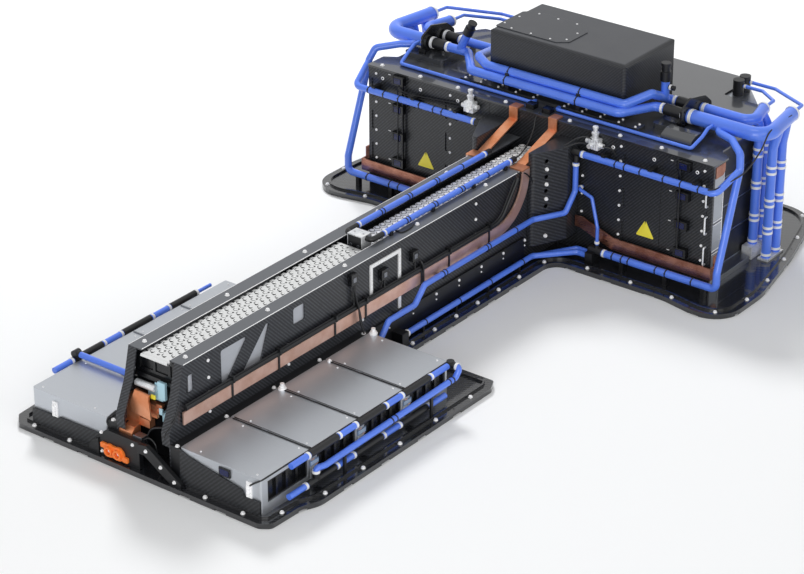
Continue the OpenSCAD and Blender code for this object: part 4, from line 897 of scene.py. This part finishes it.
@dataclass
class PanelPlugs:
    """Sense connectors on the rear panels: a glossy dark blue plug face with a pale latch in each housing."""

    heights_mm: tuple[float, ...] = (108.0, 190.0, 276.0, 364.0)
    face_y_mm: float = 1625.0

    def build(self) -> None:
        """Sets a face, a latch and a pin by every housing, and a lid on each tunnel connector."""
        rows = [(x, z) for x in (-466.0, 494.0) for z in self.heights_mm]
        c = np.array([(x, self.face_y_mm, z) for x, z in rows])
        faces, latches = Shape(), Shape()
        faces.grid(blocks(packed(c + [-11, -1.2, -8.5]), packed(c + [12, 0.4, 8.5])), closed_v=True)
        side = np.array([(100.0, 716.0, 273.0), (100.0, 842.0, 238.0), (100.0, 970.0, 240.0)])
        laid("tunnel_plug_lids", STRAP_ALU, "black_plastic", packed(side + [-0.4, -6, -8]), packed(side + [1.2, 6, 5]))
        sensor = np.array([(257.0, 24.0, 96.0)])
        faces.grid(blocks(packed(sensor + [-13, -1.0, -8]), packed(sensor + [13, 0.4, 8])), closed_v=True)
        latches.grid(blocks(packed(c + [-17, -1.6, -10.5]), packed(c + [-12, 0.4, 10.5])), closed_v=True)
        latches.grid(blocks(packed(c + [-9, -1.7, 3.0]), packed(c + [4, -0.8, 5.2])), closed_v=True)
        spots = np.array([(450.0, z) for z in (99.0, 187.0, 275.0, 365.0)] +
                         [(-505.0, z) for z in (105.0, 195.0, 281.0, 370.0)])
        pins = np.stack([spots[:, 0], np.full(8, 1641.0), spots[:, 1]], axis=1)
        laid("plug_pins", WHITE_CLAMP, "clamp_white", packed(pins + [-4.0, -1.0, -1.2]), packed(pins + [4.0, 0.2, 1.2]),
             0.3)
        faces.piece("plug_faces", NAVY_PLUG, "black_plastic", smooth=False)
        latches.piece("plug_latches", BLACK_PA_AND_SHADE, "black_plastic", smooth=False)


@dataclass
class ValveBodies:
    """Cast service valves on the rear panels: a stepped stem, a hexagon nut and two side ports."""

    x_mm: float = 210.0

    def build(self) -> None:
        """Turns the stem and ports of both valves round their own axes."""
        stem = np.array([[0, 0], [11, 0], [11, 3], [8.6, 4], [8.6, 13], [10.5, 14], [10.5, 19], [6.2, 20.5],
                         [6.2, 30], [8.2, 31], [8.2, 36], [5, 38], [0, 38]]) * MM
        port = np.array([[0, 0], [8.0, 0], [8.0, 4], [5.6, 5], [5.6, 9], [6.8, 9.6], [6.8, 12], [0, 12]]) * MM
        feet = packed([(self.x_mm, 1630, 367), (-self.x_mm, 1630, 367)])
        up = np.tile([0.0, 0.0, 1.0], (2, 1))
        shape = Shape()
        shape.grid(stood(turned(stem, 20), feet, up), closed_u=True)
        spots = packed([(226, 1629, 352), (-226, 1629, 352), (194, 1629, 356), (-194, 1629, 356), (204, 1619, 350),
                        (-204, 1619, 350)])
        axes = np.array([[1, 0, 0], [-1, 0, 0], [-1, 0, 0], [1, 0, 0], [0, -1, 0], [0, -1, 0]], float)
        shape.grid(stood(turned(port, 18), spots, axes), closed_u=True)
        ribs = np.array([(x * s, 1618.4, 340.0) for x in (198.0, 206.0, 214.0, 222.0) for s in (-1, 1)])
        shape.grid(blocks(packed(ribs + [-1.2, -1.5, 0]), packed(ribs + [1.2, 2, 27])), closed_v=True)
        shape.piece("valve_bodies", CAST_ALU, "steel")


@dataclass
class NoseCopper:
    """Folded copper link in the nose: a broad upright plate with clipped corners above two stepped lugs."""

    def build(self) -> None:
        """Stacks thick slabs whose corners follow the link's front view."""
        plate = [(-65, 165), (-48, 202), (-2, 199), (-4, 183), (1, 131), (-61, 138)]
        shape = Shape()
        rings = []
        for share, y in ((0.0, 54.0), (0.95, 54.0), (1.0, 55.0), (1.0, 60.0), (0.0, 60.0)):
            p = np.array(plate, float)
            q = p.mean(axis=0) + (p - p.mean(axis=0)) * share
            rings.append(packed(np.stack([q[:, 0], np.full(len(q), y), q[:, 1]], axis=1)))
        shape.grid(np.stack(rings)[None], closed_v=True)
        low = np.array([(-92.0, 40.0, 84.0), (-70.0, 40.0, 84.0), (-58.0, 61.0, 104.0), (-1.0, 76.0, 144.0)])
        high = np.array([(-75.0, 64.0, 109.0), (-42.0, 64.0, 107.0), (-9.0, 80.0, 126.0), (19.0, 80.0, 169.0)])
        shape.grid(blocks(packed(low), packed(high)), closed_v=True)
        shape.piece("nose_links", COPPER_STRAP, "copper", smooth=False)
        laid("nose_band", BLACK_PA_AND_SHADE, "black_plastic", packed([(-75.2, 39.4, 84.0)]), packed([(-69.8, 64.4, 109.6)]))
        rod = np.array([[0, 0], [8.4, 0], [9.0, 0.8], [9.0, 61], [8.4, 62], [0, 62]]) * MM
        bar = Shape()
        bar.grid(stood(turned(rod, 24), packed([(-62, 78, 209)]), np.array([[1.0, 0.0, 0.0]])), closed_u=True)
        bar.piece("nose_bar", CAST_ALU, "steel")
        laid("nose_foot", STRAP_ALU, "steel", packed([(-36.0, 29.0, 58.0)]), packed([(-8.0, 52.0, 93.0)]))
        laid("nose_chip", YELLOW_PLATE, "tag", packed([(-6.0, 66.0, 186.0)]), packed([(7.0, 70.0, 197.0)]))
        laid("nose_insulators", INSULATOR, "insulator", packed([(8.0, 76.0, 186.0), (13.0, 72.0, 146.0)]),
             packed([(31.0, 83.9, 233.0), (23.0, 75.9, 163.0)]))
        pins = Shape()
        ring = np.array([[2.2, 0], [5.2, 0], [5.2, 3.0], [2.2, 3.0]]) * MM
        pins.grid(stood(turned(ring, 20), packed([(-97, 11.5, 36), (-68, 11.5, 36)]),
                        np.tile([0.0, -1.0, 0.0], (2, 1))), closed_u=True, closed_v=True)
        pins.piece("contact_rings", ZINC_STEEL_AND_HIGHLIGHTS, "steel")


@dataclass
class ModulePlates:
    """Pale plates and copper tabs on the module sides' tags, and the coolant block's dark front."""

    margin_mm: float = 2.2
    lift_mm: float = 0.5
    cover_inset_mm: float = 3.0

    def build(self) -> None:
        """Lays a plate on each tag's outer face, a tab above and below it, and a plate with rings on the block."""
        tags = islands("cell_tags")
        side = np.sign(tags.mean(axis=1)[:, 0])[:, None]
        m, lift = self.margin_mm * MM, self.lift_mm * MM
        outer = np.where(side > 0, tags[:, 1, :1], tags[:, 0, :1])
        low = np.concatenate([outer - np.where(side > 0, 0.0, lift), tags[:, 0, 1:] + m], axis=1)
        high = np.concatenate([outer + np.where(side > 0, lift, 0.0), tags[:, 1, 1:] - m], axis=1)
        laid("tag_plates", TAG_PALE, "tag", low, high, 0.1)
        tabs, wide = Shape(), tags[:, 1, 1] - tags[:, 0, 1]
        for share, drop in ((0.2, np.array([0.8, 1.2])), (0.6, np.array([-0.25, 0.2]))):
            z = tags[:, 0, 2:] + (tags[:, 1, 2:] - tags[:, 0, 2:]) * drop[None]
            start = tags[:, 0, 1] + wide * share
            inner, shallow = outer - side * 1.6 * MM, outer - side * 0.3 * MM
            tabs.grid(blocks(np.stack([np.minimum(inner, shallow)[:, 0], start, z[:, 0]], axis=1),
                            np.stack([np.maximum(inner, shallow)[:, 0], start + wide * 0.3, z[:, 1]], axis=1), 0.2),
                      closed_v=True)
        tabs.piece("tag_tabs", COPPER, "copper", smooth=False)
        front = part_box("junction_block")
        x0, y0, z0 = front[0]
        x1, z1 = front[1][0], front[1][2]
        edge = self.cover_inset_mm * MM
        laid("block_front", BLACK_PA_AND_SHADE, "black_plastic", np.array([[x0 + edge, y0 - 0.8 * MM, z0 + edge]]),
             np.array([[x1 - edge, y0 + 0.2 * MM, z1 - edge]]), 0.2)
        discs = Shape()
        ring = np.array([[2.6, 0], [4.4, 0], [4.4, 1.2], [2.6, 1.2]]) * MM
        middle = (z0 + z1) / 2
        spots = np.array([(x0 + (x1 - x0) * share, y0 - 0.6 * MM, middle) for share in (0.25, 0.75)])
        discs.grid(stood(turned(ring, 20), spots, np.tile([0.0, -1.0, 0.0], (2, 1))), closed_u=True, closed_v=True)
        discs.piece("block_rings", STRAP_ALU, "steel")


@dataclass
class StackSides:
    """Ends of the rear stack: a bare column with bright beads along each seam and edge as painted highlights, and black
    plates in the recess behind it as painted shade.
    """

    column_mm: float = 575.0
    recess_mm: float = 540.0
    seams_mm: tuple[float, ...] = (30.0, 117.0, 204.0, 291.0, 378.0)
    column_y_mm: tuple[float, float, float] = (1652.0, 1678.0, 1704.0)
    recess_y_mm: tuple[float, float] = (1708.0, 1957.0)
    seam_gap_mm: float = 3.0

    def build(self) -> None:
        """Lays a black plate in each layer's recess as painted shade, and two bright beads across the column at every
        seam as painted highlights.
        """
        recess, seam_glints = Shape(), Shape()
        low, high = np.array(self.seams_mm[:-1]) + self.seam_gap_mm, np.array(self.seams_mm[1:]) - self.seam_gap_mm
        front, back = self.recess_y_mm
        for sign in (-1.0, 1.0):
            # Painted shade: a thin black plate in each layer's recess.
            a, b = sorted((sign * self.recess_mm, sign * (self.recess_mm + 0.8)))
            recess.grid(blocks(packed([(a, front, z) for z in low]), packed([(b, back, z) for z in high]), 0.2),
                        closed_v=True)
            # Painted highlights: white beads across the column at the seams and up its front and back edges.
            out = sign * (self.column_mm + 0.5)
            for z in self.seams_mm[1:-1]:
                for shift in (-4.4, 4.4):
                    path = packed([(out, y, z + shift) for y in self.column_y_mm])
                    seam_glints.grid(tube(path, 1.4 * MM, 8), closed_v=True)
            for y in (self.column_y_mm[0], self.column_y_mm[-1] - 1.0):
                seam_glints.grid(tube(packed([(out, y, z) for z in (34.0, 200.0, 374.0)]), 1.3 * MM, 8), closed_v=True)
        recess.piece("stack_recess_shade", BLACK_PA_AND_SHADE, "stack_aluminium", smooth=False)
        seam_glints.piece("stack_seam_glints", ZINC_STEEL_AND_HIGHLIGHTS, "stack_aluminium")


@dataclass
class WarningPlates:
    """Plain yellow triangles on the rear panels, left bare."""

    side_mm: float = 34.0
    x_mm: float = 374.0
    z_mm: float = 132.0
    face_y_mm: float = 1641.0
    thick_mm: float = 0.8

    def build(self) -> None:
        """Lofts a triangle with blunt corners.

        The edge's radius at angle t is 0.5 / cos(t - m), with m the middle of t's side, and at most 0.93.
        """
        t = np.linspace(0, 2 * np.pi, 96, endpoint=False)
        wedge = np.mod(t - np.pi / 2 + np.pi / 3, 2 * np.pi / 3) - np.pi / 3
        edge = 0.5 / np.cos(wedge - np.sign(wedge) * np.pi / 3)
        edge = np.minimum(edge, 0.93)
        for name, x in (("right", self.x_mm), ("left", -self.x_mm)):
            rings = []
            for share, lift in ((0.0, 1.0), (0.82, 1.0), (0.86, 0.7), (0.9, 1.0), (0.98, 1.0), (1.0, 0.7),
                                (1.0, 0.0)):
                r = edge * self.side_mm * share * MM
                y = np.full_like(t, (self.face_y_mm - MID_Y - self.thick_mm * lift) * MM)
                rings.append(np.stack([x * MM + r * np.cos(t), y, self.z_mm * MM + r * np.sin(t)], axis=-1))
            shape = Shape()
            shape.grid(np.stack(rings)[None], closed_v=True)
            shape.piece("yellow_triangle_" + name, YELLOW_PLATE, "tag")


@dataclass
class Studio:
    """Plain pale floor, soft light and the photograph's camera."""

    camera_mm: tuple[float, float, float] = (3929.1, -5187.0, 3395.6)
    azimuth: float = 37.36
    elevation: float = 27.16
    lens_mm: float = 122.33
    shift_x: float = -0.0110

    def build(self) -> None:
        """Makes the floor, the world, three soft lamps and the camera."""
        self.floor()
        self.world()
        for name, spot, size, power in (("key", (-3.6, 3.2, 4.4), 1.4, 306.0), ("top", (0.3, -0.6, 6.0), 2.2, 35.0),
                                        ("right", (5.0, -1.5, 2.6), 3.0, 40.0),
                                        ("front", (2.6, -4.8, 1.6), 2.5, 85.0)):
            lamp = bpy.data.lights.new("soft_" + name, "AREA")
            lamp.size, lamp.energy = size, power
            holder = bpy.data.objects.new("soft_" + name, lamp)
            holder.location = spot
            holder.visible_glossy = name != "key"
            bpy.context.scene.collection.objects.link(holder)
            aim = np.array([0.0, 0.0, 0.1]) - np.array(spot)
            holder.rotation_euler = (math.atan2(math.hypot(aim[0], aim[1]), -aim[2]), 0.0,
                                     math.atan2(-aim[0], aim[1]))
        camera = bpy.data.cameras.new("camera")
        camera.lens, camera.sensor_width, camera.shift_x = self.lens_mm, 36.0, self.shift_x
        camera.clip_end = 100.0
        holder = bpy.data.objects.new("camera", camera)
        holder.location = tuple(c * MM for c in self.camera_mm)
        holder.rotation_euler = (math.radians(90 - self.elevation), 0.0, math.radians(self.azimuth))
        bpy.context.scene.collection.objects.link(holder)
        bpy.context.scene.camera = holder
        bpy.context.scene.view_settings.view_transform = "Standard"

    def floor(self) -> None:
        """Makes a pale round floor just below the tray that keeps the pack's soft shadow."""
        angle = np.linspace(0, 2 * np.pi, 64, endpoint=False)
        r = np.array([0.001, 60.0])[:, None]
        points = np.stack([r * np.cos(angle), r * np.sin(angle), np.full((2, 64), -0.0005)], axis=-1)
        mesh = bpy.data.meshes.new("floor")
        quads = np.stack([np.arange(64), 64 + np.arange(64), 64 + (np.arange(64) + 1) % 64,
                          (np.arange(64) + 1) % 64], axis=1)
        mesh.from_pydata(points.reshape(-1, 3), [], quads)
        made = bpy.data.materials.new("pale_floor")
        made.use_nodes = True
        tree = made.node_tree
        shader = tree.nodes["Principled BSDF"]
        shader.inputs["Base Color"].default_value = linear("f6f7f8")
        shader.inputs["Roughness"].default_value = 0.9
        mesh.materials.append(made)
        floor = bpy.data.objects.new("floor", mesh)
        bpy.context.scene.collection.objects.link(floor)

    def world(self) -> None:
        """Gives an even pale surround, white to the camera and pale in the metal's mirror."""
        world = bpy.data.worlds.new("studio")
        world.use_nodes = True
        bpy.context.scene.world = world
        tree = world.node_tree
        back = tree.nodes["Background"]
        back.inputs["Color"].default_value = (1.0, 1.0, 1.0, 1.0)
        path = add_node(tree, "ShaderNodeLightPath")
        mirror = add_node(tree, "ShaderNodeMapRange", {"Value": path.outputs["Is Glossy Ray"], "To Min": 0.42,
                                                       "To Max": 0.85})
        strength = add_node(tree, "ShaderNodeMath", {0: mirror.outputs[0], 1: path.outputs["Is Camera Ray"]},
                            operation="MAXIMUM")
        tree.links.new(strength.outputs[0], back.inputs["Strength"])


def main() -> None:
    """Builds every class in order and reports each piece."""
    logging.basicConfig(level=logging.INFO, format="%(name)s: %(message)s")
    for part in (Studio(), Dressing(), ClampRings(), CellRow(), Fasteners("tray_bolts", top_only=True),
                 Fasteners("tunnel_bolts"), Fasteners("screws"), HoseTies(), WarningPlates(), VentTabs(),
                 FlangeHighlightsAndRoll(), Cables(), PanelPlugs(), ValveBodies(), NoseCopper(), ModulePlates(), StackSides()):
        part.build()
        LOG.info("built %s", type(part).__name__)


if __name__ == "__main__":
    main()
